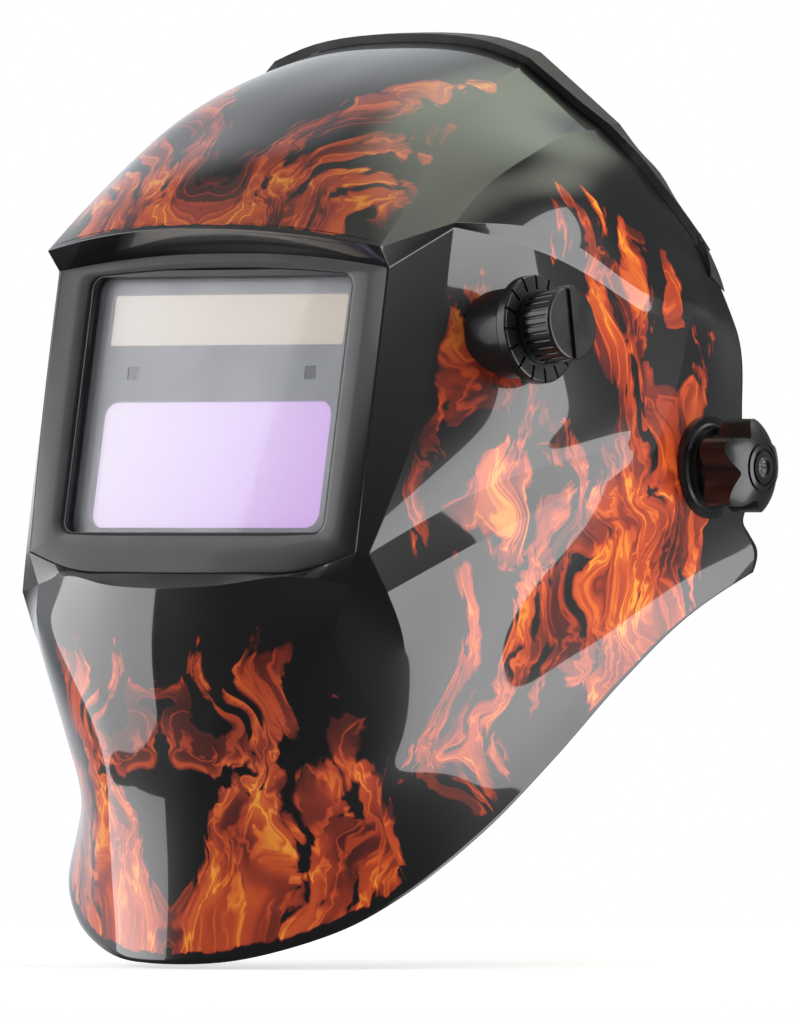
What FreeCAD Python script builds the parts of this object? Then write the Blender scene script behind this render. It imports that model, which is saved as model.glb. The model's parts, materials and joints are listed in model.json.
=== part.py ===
import FreeCAD, Part
import math
import os

# Welding helmet with an auto-darkening filter and a ratchet headgear.
# Millimetres, +Z up, the visor looks along -Y, +X is the wearer's left.
# The origin is the middle of the axis the shell tilts about.

os.makedirs("parts", exist_ok=True)
V = FreeCAD.Vector

# ---------------------------------------------------------------- driving dimensions
WALL = 2.6                      # shell wall
LEAN_DEG = 11.6                 # lean of the window plane
WINDOW_CENTRE = V(0, -132.9, 20.9)
WINDOW_SIZE = (105.0, 86.0)     # clear opening in the shell
POCKET_SIZE = (110.8, 90.8)     # pocket for the filter cartridge
LIP = 4.5                       # depth of the opening in front of the cover lens
COLLAR_WALL = 4.0
HOUSING_FRONT = (109.0, 90.0)   # front rim of the filter housing, set into the shell
COLLAR_DEPTH = 21.95
POST_IN = 62.6                  # latch posts beside the pocket
POST_OUT = 65.6
POST_END = 31.0
LATCH_D = (24.9, 28.3)          # depth range of the sliding latches

LENS_SIZE = (110.4, 90.4)
GLASS_SIZE = (97.0, 46.0)       # viewing glass and shutter behind the view opening
LENS_THICK = 1.2
CASE_SIZE = (110.0, 90.0)
CASE_WALL = 1.5
CASE_FRONT = LIP + LENS_THICK + 0.2
CASE_SPLIT = 14.0
CASE_REAR = 22.0
SOLAR_SIZE = (95.5, 17.2)
SOLAR_UP = 29.5
VIEW_SIZE = (93.0, 42.4)
VIEW_UP = -19.2
INNER_LENS_SIZE = (100.0, 45.0)
SENSOR_AT = (36.0, 11.5)
CONTROL_UP = 30.0
CONTROL_SIDE = 30.0
CONTROL_SHAFT_R = 2.0
TEST_BUTTON_R = 3.0

ARM_IN = 96.5                   # inner face of the headgear side arm
ARM_THICK = 3.0
STOP_THICK = 2.0
SEAT_IN = 104.0                 # inner seat of the shell on its pivot
SEAT_OUT = 110.2
SPACER_OUT = 112.3
KNOB_OUT = 131.0
BOLT_D = 8.0
PIVOT_CLEARANCE = 0.07          # radial running clearance
SEAT_NECK_R = 9.0               # neck of the seat through the shell wall
PEG_R = 2.5
PEG_AT = 14.0
FLIP_DEG = 80.0

SHADE_CENTRE = V(94.8, -91.0, 43.8)
SHADE_FORWARD_DEG = 5.0
SHADE_UP_DEG = 7.0
SHADE_BOSS_R = 15.0
SHADE_NECK_R = 8.0
SHADE_BOSS_TOP = 6.0
SHADE_BOSS_BASE = -9.6          # foot of the boss inside the shell, where the potentiometer seats
POT_R = 8.0
POT_DEPTH = 10.4
DIAL_R = 17.85
DIAL_TOP = 10.4
SHADE_KNOB_R = 12.0
SHADE_KNOB_TOP = 24.2
SHADE_SHAFT_R = 3.0
BUSHING_R = 4.5

LEAD_R = 1.6                    # lead from the potentiometer to the cartridge
LEAD_BEND = 9.0
LEAD_UP = 14.0
LEAD_DEPTH = 19.0
LEAD_RUN_OUT = 10.0             # straight run before the first bend
LEAD_RUN_IN = 12.0

HEAD_TILT_DEG = -10.0           # the headband drops towards the nape
BAND_IN = 77.0
BAND_OUT = 79.0
BAND_Z = (22.0, 46.0)
FRONT_CENTRE_Y = -8.0
REAR_CENTRE_Y = 24.0
TAIL_Z = (25.5, 42.5)
TAIL_L = (79.3, 80.9)
TAIL_R = (81.2, 82.8)
PINION_Z = 34.0
PINION_PITCH_R = 4.0
PINION_TEETH = 8
TAIL_RATIO = 0.05               # turn of a tail about the nape for one turn of the pinion
PINION_SHAFT_END = REAR_CENTRE_Y + 97.0
RATCHET_HALF_DEG = 26.0
CROWN_TOP = 97.0
CROWN_Y = (-3.0, 19.0)
CROWN_X = (75.2, 76.8)
ARM_FOOT_OUT = 82.0
FOOT_Y = (-16.0, 13.0)
RIVET_Y = (0.7, 8.2)            # two rivets each side, through strap, band and arm
RIVET_Z = 37.2
RIVET_R = 2.0
PEG_X = (-7.0, 7.0)             # pegs that join the two crown straps
PAD_FRONT_IN = 68.5
PAD_REAR_IN = 69.0
PAD_REAR_OUT = 76.75

# Outline points of one half of the shell, +X side. Each row runs from the
# centre plane to the rear edge; the rows climb from the lower edge to the rim.
SHELL_ROWS = [
    [(0, -155, -162.3), (20, -150.5, -161.5), (40.7, -139.3, -156.5), (56, -128.5, -149.5),
     (69.5, -115.5, -138.5), (82.1, -92.8, -120), (92, -66, -96), (99.5, -38, -71),
     (105.5, -8, -49.5), (111, 22.8, -34.7)],
    [(0, -152.5, -118), (18, -150.5, -117), (35, -144, -116), (49, -133, -114),
     (60, -121, -110), (78, -94, -95), (89, -65, -77), (97, -38, -58),
     (103.5, -12, -42), (111.5, 24.5, -27.6)],
    [(0, -158, -90), (13, -157.5, -90), (26, -155, -90), (48, -141, -90),
     (66, -121, -90), (82, -97, -74), (92.5, -66, -56), (99.5, -38, -42),
     (105, -11, -31), (110.8, 21, -22.2)],
    [(0, -163, -60), (22, -160, -58), (43, -153.5, -55), (60.6, -144.8, -52),
     (74.5, -126, -58), (89, -100, -46), (99, -65, -32), (104, -38, -22),
     (107.5, -8, -20), (110.3, 18, -18)],
    [(0, -161, -39.6), (23, -157.5, -38.5), (46, -148, -35.5), (63, -141, -38.5),
     (74, -135, -41), (93, -95, -20), (104.5, -50, -4), (107, -32, -5.5),
     (109, -3, -11), (110.7, 18.8, -13.5)],
    [(0, -144.4, -34.9), (23, -144.2, -34.7), (46, -143.5, -34), (66.4, -141.4, -28),
     (69.5, -139, -28.5), (90.5, -90.2, -4), (105, -42, 6.3), (107, -32, 2.3),
     (108.5, 0, 0), (110, 18.5, -3)],
    [(0, -133.5, 18), (23, -133.5, 18), (46, -133.5, 18), (67, -133.2, 18.5),
     (77, -120, 18), (95, -92, 18), (103.5, -33, 24), (106, -16, 24),
     (107.5, 2, 21), (109.5, 18.5, 16)],
    [(0, -122.7, 70.5), (23, -122.9, 70), (46, -123.4, 68), (67, -124, 65),
     (77.8, -102.4, 78.3), (90, -70, 71), (100.5, -26, 51), (103.5, -3, 49.7),
     (105, 9, 46), (107, 20.3, 43)],
    [(0, -139.9, 78.2), (23, -138.8, 77.5), (46, -135.2, 75.2), (67.5, -129.7, 71.7),
     (78.6, -103, 79.8), (92.5, -69, 77), (102.5, -22, 56), (104, -1, 54.5),
     (105, 9, 52), (104.7, 17, 54)],
    [(0, -127, 96.5), (23, -125, 95.5), (45, -119.5, 92.5), (65.5, -110.9, 86.3),
     (78.3, -83.6, 92.7), (93, -58, 87), (99, -22, 70), (101, -3, 65),
     (102.3, 7, 62.5), (103.7, 16, 57.5)],
    [(0, -104, 112), (22, -101.5, 111.7), (43, -96, 111), (57.8, -82.6, 109.3),
     (81.5, -60.4, 104), (91, -38, 95), (96.5, -16, 79), (99.5, -2, 72),
     (101.3, 7, 67), (102.7, 15, 61)],
    [(0, -76, 127), (20.5, -75, 126.5), (40.1, -69.7, 124.5), (55.4, -60.1, 120.4),
     (80, -41.7, 109.7), (88.5, -24, 100), (94, -10, 86), (97.5, -0.5, 78),
     (99.8, 7, 71.5), (101.5, 13.7, 64.5)],
    [(0, -48, 137), (19, -46.5, 136.5), (36, -43, 134), (52.2, -39.4, 128.6),
     (78.5, -22, 111.8), (85.5, -13, 103), (91, -4.5, 91.5), (95, 1.5, 83),
     (97.8, 7, 75.5), (100, 12.2, 68)],
    [(0, -16, 143.3), (17, -16, 142.9), (34, -16, 141), (50, -16, 136.2),
     (76.9, -9.8, 112.8), (82.5, -6, 104), (87.5, -0.5, 96), (91.5, 3.5, 87),
     (95.5, 7, 79), (98.5, 10.4, 71.7)],
]
CREASE_ROWS = (4, 5, 7, 8)      # edges that run along a row, as far back as LAST_CREASE
LAST_CREASE = 7
CREASE_COLUMNS = (3, 4)         # edges that climb along a column, from row 3 up
RECESS_COLUMNS = (6, 7)         # rear edge of the recessed side panel, rows 5 to 7
RIDGE_ROWS = (2, 3, 4)          # rows with a slight keel on the centre plane
WINDOW_ROW = 6                  # the row that crosses the window
TRIM_FIRST_ROW = 9              # the rear trim runs over the top, down to this row on both sides
TRIM_WIDTH = 7.5
TRIM_OVERHANG = 1.4             # how far the trim stands behind the edge
TRIM_PROUD = 3.0
TRIM_LIFT = 0.12


# ---------------------------------------------------------------- general helpers
def save(name, shape):
    if shape.isNull() or not shape.isValid():
        print("CHECK", name, "is not valid")
    shape.exportStep("parts/" + name + ".step")
    print("%-24s solids %d  volume %.0f mm3" % (name, len(shape.Solids), shape.Volume))


def mirrored(shape):
    return shape.mirror(V(0, 0, 0), V(1, 0, 0))


def placed(shape, origin, x_axis, z_axis):
    """Move a shape drawn about the global axes into the frame given."""
    y_axis = z_axis.cross(x_axis)
    frame = FreeCAD.Placement(origin, FreeCAD.Rotation(x_axis, y_axis, z_axis, "ZXY"))
    result = shape.copy()
    result.Placement = frame.multiply(shape.Placement)
    return result


def cylinder(radius, z0, z1, x=0.0, y=0.0):
    return Part.makeCylinder(radius, z1 - z0, V(x, y, z0), V(0, 0, 1))


def ring(outer, inner, z0, z1):
    return cylinder(outer, z0, z1).cut(cylinder(inner, z0 - 1, z1 + 1))


def box(x0, x1, y0, y1, z0, z1):
    return Part.makeBox(x1 - x0, y1 - y0, z1 - z0, V(x0, y0, z0))


def rounded_plate(size, radius, z0, z1, x=0.0, y=0.0):
    plate = box(x - size[0] / 2, x + size[0] / 2, y - size[1] / 2, y + size[1] / 2, z0, z1)
    upright = [e for e in plate.Edges if abs(e.tangentAt(e.FirstParameter).z) > 0.99]
    return plate.makeFillet(radius, upright)


def polygon_prism(points, z0, z1):
    corners = [V(p[0], p[1], z0) for p in points]
    face = Part.Face(Part.makePolygon(corners + [corners[0]]))
    return face.extrude(V(0, 0, z1 - z0))


def closed_spline_prism(points, z0, z1):
    curve = Part.BSplineCurve()
    curve.interpolate(Points=[V(p[0], p[1], z0) for p in points], PeriodicFlag=True)
    face = Part.Face(Part.Wire([curve.toShape()]))
    return face.extrude(V(0, 0, z1 - z0))


def largest(shape):
    return sorted(shape.Solids, key=lambda s: s.Volume)[-1]


def without_crumbs(shape):
    """Join the solids of a cut shape, leaving out specks under 20 mm3."""
    return fused([s for s in shape.Solids if s.Volume > 20])


def sewn_solid(faces):
    sewn = Part.makeCompound(faces)
    sewn.sewShape(1e-4)
    solid = Part.Solid(sewn.Shells[0])
    if solid.Volume < 0:
        solid.reverse()
    return solid


def fused(shapes):
    whole = shapes[0]
    for extra in shapes[1:]:
        whole = whole.fuse(extra)
    return whole


# ---------------------------------------------------------------- shell surface
def mirror_point(p):
    return V(-p.x, p.y, p.z)


def shell_grid():
    """Both halves of the outline, column by column from the right to the left side."""
    grid = []
    for row in SHELL_ROWS:
        half = [V(*p) for p in row]
        grid.append([mirror_point(p) for p in reversed(half[1:])] + half)
    return grid


GRID = shell_grid()
ROWS = len(GRID)
COLUMNS = len(GRID[0])
MIDDLE = COLUMNS // 2


def column_is_crease(i, j):
    offset = abs(j - MIDDLE)
    if offset in CREASE_COLUMNS:
        return i >= 3
    if offset in RECESS_COLUMNS:
        return 5 <= i <= 7
    return offset == 0 and i in RIDGE_ROWS


def row_is_crease(i, j):
    return i in CREASE_ROWS and abs(j - MIDDLE) <= LAST_CREASE


def line_tangents(points, creases):
    """Tangent at both ends of every span; a crease keeps the two sides apart."""
    spans = [points[k + 1] - points[k] for k in range(len(points) - 1)]
    smooth = []
    for k in range(len(points)):
        if k == 0 or k == len(points) - 1 or creases[k]:
            smooth.append(None)
            continue
        before = spans[k - 1]
        after = spans[k]
        slope = before * (after.Length / before.Length) + after * (before.Length / after.Length)
        smooth.append(slope * (1.0 / slope.Length))
    result = []
    for k, span in enumerate(spans):
        start = smooth[k]
        end = smooth[k + 1]
        if start is not None:
            start = start * span.Length
        if end is not None:
            end = end * span.Length
        if start is None and end is None:
            start = span
            end = span
        elif start is None:
            start = span * 1.5 - end * 0.5
        elif end is None:
            end = span * 1.5 - start * 0.5
        result.append((start, end))
    return result


def surface_tangents(grid):
    along = []
    for i in range(ROWS):
        along.append(line_tangents(grid[i], [column_is_crease(i, j) for j in range(COLUMNS)]))
    up = []
    for j in range(COLUMNS):
        line = [grid[i][j] for i in range(ROWS)]
        up.append(line_tangents(line, [row_is_crease(i, j) for i in range(ROWS)]))
    return along, up


def cell_poles(grid, along, up, i, j):
    """Sixteen poles of one cubic cell, first index up the rows."""
    p00 = grid[i][j]
    p01 = grid[i][j + 1]
    p10 = grid[i + 1][j]
    p11 = grid[i + 1][j + 1]
    low = along[i][j]
    high = along[i + 1][j]
    left = up[j][i]
    right = up[j + 1][i]
    bottom = [p00, p00 + low[0] / 3, p01 - low[1] / 3, p01]
    top = [p10, p10 + high[0] / 3, p11 - high[1] / 3, p11]
    second = [p00 + left[0] / 3, None, None, p01 + right[0] / 3]
    third = [p10 - left[1] / 3, None, None, p11 - right[1] / 3]
    second[1] = bottom[1] + left[0] / 3
    second[2] = bottom[2] + right[0] / 3
    third[1] = top[1] - left[1] / 3
    third[2] = top[2] - right[1] / 3
    return [bottom, second, third, top]


def spline_face(poles):
    rows = len(poles)
    columns = len(poles[0])
    surface = Part.BSplineSurface()
    surface.buildFromPolesMultsKnots(poles, [rows, rows], [columns, columns],
                                     [0.0, 1.0], [0.0, 1.0], False, False, rows - 1, columns - 1)
    return surface.toShape()


def grid_normals(grid):
    """Outward normal at every grid point, averaged over the cells around it."""
    normals = []
    for i in range(ROWS):
        line = []
        for j in range(COLUMNS):
            total = V(0, 0, 0)
            for di, dj in ((0, 0), (-1, 0), (0, -1), (-1, -1)):
                a, b = i + di, j + dj
                if 0 <= a < ROWS - 1 and 0 <= b < COLUMNS - 1:
                    first = grid[a + 1][b + 1] - grid[a][b]
                    second = grid[a + 1][b] - grid[a][b + 1]
                    cross = first.cross(second)
                    if cross.Length > 1e-6:
                        total = total + cross * (1.0 / cross.Length)
            if j == MIDDLE:
                total.x = 0.0
            total.normalize()
            line.append(total)
        normals.append(line)
    if normals[WINDOW_ROW][MIDDLE].dot(grid[WINDOW_ROW][MIDDLE]) < 0:
        normals = [[n * -1 for n in line] for line in normals]
    return normals


def skin(grid):
    along, up = surface_tangents(grid)
    poles = {}
    for i in range(ROWS - 1):
        for j in range(COLUMNS - 1):
            poles[(i, j)] = cell_poles(grid, along, up, i, j)
    return poles


def edge_poles(poles):
    """Poles along the open edge of a skin, one span after another."""
    spans = []
    for j in range(COLUMNS - 1):
        spans.append(poles[(0, j)][0])
        spans.append(poles[(ROWS - 2, j)][3])
    for i in range(ROWS - 1):
        spans.append([row[0] for row in poles[(i, 0)]])
        spans.append([row[3] for row in poles[(i, COLUMNS - 2)]])
    return spans


def shell_body():
    normals = grid_normals(GRID)
    inner_grid = []
    for i in range(ROWS):
        inner_grid.append([GRID[i][j] - normals[i][j] * WALL for j in range(COLUMNS)])
    outer = skin(GRID)
    inner = skin(inner_grid)
    faces = [spline_face(p) for p in outer.values()]
    faces += [spline_face(p) for p in inner.values()]
    for a, b in zip(edge_poles(outer), edge_poles(inner)):
        faces.append(spline_face([a, b]))
    return sewn_solid(faces)


# ---------------------------------------------------------------- window frame of reference
LEAN = math.radians(LEAN_DEG)
WINDOW_OUT = V(0, -math.cos(LEAN), math.sin(LEAN))
WINDOW_UP = V(0, math.sin(LEAN), math.cos(LEAN))


def at_window(shape):
    """Local x to the wearer's left, y up the window, z outward from the window plane."""
    return placed(shape, WINDOW_CENTRE, V(1, 0, 0), WINDOW_OUT)


def window_plate(size, radius, d0, d1, x=0.0, y=0.0):
    """Plate between two depths behind the window plane."""
    return rounded_plate(size, radius, -d1, -d0, x, y)


def window_box(x0, x1, y0, y1, d0, d1):
    return box(x0, x1, y0, y1, -d1, -d0)


def shade_frame(shape):
    forward = math.radians(SHADE_FORWARD_DEG)
    up = math.radians(SHADE_UP_DEG)
    axis = V(math.cos(forward) * math.cos(up), -math.sin(forward) * math.cos(up), math.sin(up))
    across = V(0, 0, 1).cross(axis)
    across.normalize()
    return placed(shape, SHADE_CENTRE, across, axis)


def at_left_pivot(shape):
    """Local z runs outward along +X, local x to the rear."""
    return placed(shape, V(0, 0, 0), V(0, 1, 0), V(1, 0, 0))


# ---------------------------------------------------------------- shell with its fittings
def make_helmet_shell():
    shell = shell_body()
    shell = shell.cut(at_window(window_plate(HOUSING_FRONT, 4.5, -8, 8)))
    bore = at_left_pivot(cylinder(SEAT_NECK_R, 80, 120))
    shell = shell.cut(bore).cut(mirrored(bore))
    shell = shell.cut(shade_frame(cylinder(SHADE_NECK_R, -12, 30)))
    return largest(shell)


def make_filter_housing(shell):
    """Moulded holder behind the window: lip, pocket for the cartridge and latch posts."""
    outer = (POCKET_SIZE[0] + 2 * COLLAR_WALL, POCKET_SIZE[1] + 2 * COLLAR_WALL)
    lip = window_plate(HOUSING_FRONT, 4.5, 0.6, WALL + 1)
    collar = window_plate(outer, 5.0, WALL + 0.1, COLLAR_DEPTH)
    posts = []
    for side in (-1, 1):
        x0, x1 = sorted((side * POST_IN, side * POST_OUT))
        posts.append(window_box(x0, x1, -9, 9, WALL + 0.1, POST_END))
        x0, x1 = sorted((side * (POCKET_SIZE[0] / 2 + 1), side * POST_OUT))
        posts.append(window_box(x0, x1, -9, 9, WALL + 0.1, 12.0))
    housing = at_window(fused([collar, lip] + posts))
    cuts = [window_plate(POCKET_SIZE, 1.5, LIP, COLLAR_DEPTH + 1)]
    cuts.append(window_plate(WINDOW_SIZE, 4.0, -8, LIP + 1))
    for side in (-1, 1):
        x0, x1 = sorted((side * (POST_IN - 1), side * (POST_OUT + 1)))
        cuts.append(window_box(x0, x1, -6, 6, LATCH_D[0] - 0.1, LATCH_D[1] + 0.1))
    cuts.append(window_box(54, 64, LEAD_UP - 4, LEAD_UP + 4, 16.0, COLLAR_DEPTH + 1))
    for cut in cuts:
        housing = housing.cut(at_window(cut))
    return largest(housing.cut(shell))


def stop_peg():
    angle = math.radians(-90.0 + FLIP_DEG / 2)
    tip = V(ARM_IN + ARM_THICK + 0.4, PEG_AT * math.cos(angle), PEG_AT * math.sin(angle))
    return Part.makeCylinder(PEG_R, SEAT_IN + 1 - tip.x, tip, V(1, 0, 0))


def make_pivot_seat(shell):
    """Bushing through the shell wall, with the peg that runs in the stop plate."""
    inner = cylinder(17.0, SEAT_IN, SEAT_OUT - 0.6)
    neck = cylinder(SEAT_NECK_R, SEAT_IN, SEAT_OUT)
    outer = Part.makeCone(15.5, 14.0, 1.2, V(0, 0, SEAT_OUT - 1.2), V(0, 0, 1))
    rim = cylinder(15.5, SEAT_OUT - 4.0, SEAT_OUT - 1.2)
    body = at_left_pivot(fused([inner, rim])).cut(shell)
    body = fused([without_crumbs(body), at_left_pivot(neck), at_left_pivot(outer), stop_peg()])
    return body.cut(at_left_pivot(cylinder(BOLT_D / 2 + PIVOT_CLEARANCE, 90, 130)))


def make_shade_boss(shell):
    """Boss that carries the dial outside and the potentiometer inside."""
    boss = shade_frame(cylinder(SHADE_BOSS_R, SHADE_BOSS_BASE, SHADE_BOSS_TOP)).cut(shell)
    neck = shade_frame(cylinder(SHADE_NECK_R, SHADE_BOSS_BASE, SHADE_BOSS_TOP))
    whole = fused([without_crumbs(boss), neck])
    return whole.cut(shade_frame(cylinder(BUSHING_R, -30, 30)))


def surface_point(poles, s, t):
    """Point of a cubic cell, s along the row and t up the rows."""
    def blend(values, x):
        y = 1 - x
        return (values[0] * (y * y * y) + values[1] * (3 * x * y * y)
                + values[2] * (3 * x * x * y) + values[3] * (x * x * x))
    return blend([blend(row, s) for row in poles], t)


def rear_path():
    """Cells and parameters of the rear edge from the right pivot over the rim to the left one."""
    stations = []
    last_i = ROWS - 2
    for i in range(TRIM_FIRST_ROW, ROWS - 1):
        for t in (0.0, 0.5):
            stations.append(((i, 0), 0.0, t, (1.0, 0.0)))
    for j in range(COLUMNS - 1):
        for s in (0.0, 0.33, 0.67):
            stations.append(((last_i, j), s, 1.0, (0.0, -1.0)))
    for i in range(ROWS - 2, TRIM_FIRST_ROW - 1, -1):
        for t in (1.0, 0.5):
            stations.append(((i, COLUMNS - 2), 1.0, t, (-1.0, 0.0)))
    return stations


def trim_section(poles, s, t, inward, proud):
    """Four corners of the trim across the edge, at one point of the rear edge."""
    step = 0.05
    point = surface_point(poles, s, t)
    reach = surface_point(poles, s + inward[0] * step, t + inward[1] * step) - point
    share = min(0.95, step * TRIM_WIDTH / reach.Length)
    seat = surface_point(poles, s + inward[0] * share, t + inward[1] * share)
    if inward[0]:
        side = surface_point(poles, s, min(1.0, t + step)) - surface_point(poles, s, max(0.0, t - step))
    else:
        side = surface_point(poles, min(1.0, s + step), t) - surface_point(poles, max(0.0, s - step), t)
    across = reach * (1.0 / reach.Length)
    normal = across.cross(side)
    normal.normalize()
    if normal.dot(V(point.x, 0, point.z)) < 0:
        normal = normal * -1
    tail = point - across * TRIM_OVERHANG
    return [seat + normal * TRIM_LIFT, tail + normal * TRIM_LIFT,
            tail + normal * (proud - 0.8), seat + normal * proud]


def make_rear_edge_trim():
    """Raised band that caps the rear edge of the shell, lower towards its two ends."""
    cells = skin(GRID)
    stations = rear_path()
    sections = []
    for k, (key, s, t, inward) in enumerate(stations):
        from_end = min(k, len(stations) - 1 - k)
        proud = min(TRIM_PROUD, 1.2 + 0.3 * from_end)
        section = trim_section(cells[key], s, t, inward, proud)
        if not sections or (section[1] - last_tail).Length > 1.0:
            sections.append(section)
        last_tail = section[1]
    faces = []
    for first, second in zip(sections[:-1], sections[1:]):
        for k in range(4):
            m = (k + 1) % 4
            faces.append(spline_face([[first[k], second[k]], [first[m], second[m]]]))
    for end in (sections[0], sections[-1]):
        faces.append(spline_face([[end[0], end[1]], [end[3], end[2]]]))
    return sewn_solid(faces)


# ---------------------------------------------------------------- filter cartridge
def make_front_cover_lens():
    return at_window(window_plate(LENS_SIZE, 1.5, LIP, LIP + LENS_THICK))


def make_filter_case_front():
    case = window_plate(CASE_SIZE, 2.0, CASE_FRONT, CASE_SPLIT)
    inner = (CASE_SIZE[0] - 2 * CASE_WALL, CASE_SIZE[1] - 2 * CASE_WALL)
    case = case.cut(window_plate(inner, 1.0, CASE_FRONT + CASE_WALL, CASE_SPLIT + 1))
    case = case.cut(window_plate(SOLAR_SIZE, 1.2, 0, CASE_FRONT + 3, 0, SOLAR_UP))
    case = case.cut(window_plate(VIEW_SIZE, 5.0, 0, CASE_FRONT + 3, 0, VIEW_UP))
    for side in (-1, 1):
        hole = window_plate((4.6, 4.6), 0.5, 0, CASE_FRONT + 3, side * SENSOR_AT[0], SENSOR_AT[1])
        case = case.cut(hole)
    return at_window(case)


def make_filter_case_back():
    case = window_plate(CASE_SIZE, 2.0, CASE_SPLIT, CASE_REAR)
    inner = (CASE_SIZE[0] - 2 * CASE_WALL, CASE_SIZE[1] - 2 * CASE_WALL)
    case = case.cut(window_plate(inner, 1.0, CASE_SPLIT - 1, CASE_REAR - CASE_WALL))
    case = case.cut(window_plate(VIEW_SIZE, 4.0, 0, CASE_REAR + 1, 0, VIEW_UP))
    inner_seat = (INNER_LENS_SIZE[0] + 0.4, INNER_LENS_SIZE[1] + 0.4)
    case = case.cut(window_plate(inner_seat, 1.0, CASE_REAR - 0.5, CASE_REAR + 1, 0, VIEW_UP))
    shaft_hole = CONTROL_SHAFT_R + PIVOT_CLEARANCE
    holes = ((-CONTROL_SIDE, shaft_hole), (CONTROL_SIDE, shaft_hole), (0.0, TEST_BUTTON_R + 0.3))
    for x, radius in holes:
        case = case.cut(cylinder(radius, -CASE_REAR - 1, -CASE_REAR + 3, x, CONTROL_UP))
    lead_hole = Part.makeCylinder(LEAD_R, 4, V(53.0, LEAD_UP, -LEAD_DEPTH), V(1, 0, 0))
    return at_window(case.cut(lead_hole))


def make_viewing_glass():
    front = CASE_FRONT + CASE_WALL + 0.1
    return at_window(window_plate(GLASS_SIZE, 1.0, front, front + 1.1, 0, VIEW_UP))


def make_lcd_shutter():
    front = CASE_FRONT + CASE_WALL + 1.2
    return at_window(window_plate(GLASS_SIZE, 1.0, front, front + 3.0, 0, VIEW_UP))


def make_solar_panel():
    return at_window(window_plate((98.0, 19.4), 0.8, 7.5, 8.7, 0, SOLAR_UP))


def make_arc_sensors():
    sensors = []
    for side in (-1, 1):
        sensors.append(window_plate((4.2, 4.2), 0.4, 6.3, 9.4, side * SENSOR_AT[0], SENSOR_AT[1]))
    return at_window(Part.makeCompound(sensors))


def make_circuit_board():
    return at_window(window_plate((104.0, 34.0), 1.0, 9.5, 11.0, 0, 25.0))


def make_coin_cells():
    cells = []
    for side in (-1, 1):
        cells.append(cylinder(10.0, -14.4, -11.1, side * 14.0, 26.5))
    return at_window(Part.makeCompound(cells))


def make_inner_cover_lens():
    return at_window(window_plate(INNER_LENS_SIZE, 1.0, CASE_REAR - 0.5, CASE_REAR + 0.6, 0, VIEW_UP))


def control_knob(x):
    body = cylinder(5.5, -CASE_REAR - 5.0, -CASE_REAR - 0.3, x, CONTROL_UP)
    for k in range(10):
        angle = 2 * math.pi * k / 10
        groove = cylinder(0.7, -CASE_REAR - 6, -CASE_REAR - 1.2,
                          x + 5.7 * math.cos(angle), CONTROL_UP + 5.7 * math.sin(angle))
        body = body.cut(groove)
    pointer = box(x - 0.6, x + 0.6, CONTROL_UP, CONTROL_UP + 6.0, -CASE_REAR - 6, -CASE_REAR - 4.4)
    shaft = cylinder(CONTROL_SHAFT_R, -CASE_REAR - 1, -CASE_REAR + 4, x, CONTROL_UP)
    return at_window(body.cut(pointer).fuse(shaft))


def make_test_button():
    cap = cylinder(TEST_BUTTON_R, -CASE_REAR - 2.4, -CASE_REAR + 2.0, 0, CONTROL_UP)
    flange = cylinder(4.2, -CASE_REAR + CASE_WALL + 0.2, -CASE_REAR + CASE_WALL + 1.2, 0, CONTROL_UP)
    return at_window(cap.fuse(flange))


def make_filter_retainer():
    frame = window_plate((120.0, 98.0), 5.0, COLLAR_DEPTH + 0.1, 24.6)
    frame = frame.cut(window_plate((104.0, 84.0), 4.0, 20, 26))
    pads = []
    for side in (-1, 1):
        x0, x1 = sorted((side * 50.5, side * 60.0))
        pads.append(window_box(x0, x1, -11, 11, COLLAR_DEPTH + 0.5, 24.6))
        for y0, y1 in ((-11.0, -8.4), (8.4, 11.0)):
            pads.append(window_box(x0, x1, y0, y1, 24.0, 29.6))
        for y0, y1 in ((-11.0, -6.6), (6.6, 11.0)):
            pads.append(window_box(x0, x1, y0, y1, 28.6, 29.6))
    return at_window(fused([frame] + pads))


def retainer_latch():
    body = window_box(51.5, 60.5, -8.1, 8.1, LATCH_D[0], LATCH_D[1])
    tongue = window_box(60.0, 64.8, -5.6, 5.6, LATCH_D[0], LATCH_D[1])
    ridges = []
    for k in range(3):
        x = 53.4 + 2.2 * k
        ridges.append(window_box(x, x + 1.0, -5.6, 5.6, LATCH_D[1] - 0.2, LATCH_D[1] + 1.9))
    return at_window(fused([body, tongue] + ridges))


# ---------------------------------------------------------------- shade control
def make_shade_dial_ring():
    dial = cylinder(DIAL_R, SHADE_BOSS_TOP, DIAL_TOP)
    dial = dial.makeFillet(0.8, [e for e in dial.Edges if e.Closed and e.Length > 100])
    dial = dial.cut(cylinder(7.4, 0, 30))
    for k in range(16):
        groove = box(SHADE_KNOB_R + 1.0, DIAL_R + 1, -0.5, 0.5, DIAL_TOP - 0.9, DIAL_TOP + 1)
        groove.rotate(V(0, 0, 0), V(0, 0, 1), 22.5 * k)
        dial = dial.cut(groove)
    return shade_frame(dial)


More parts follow.
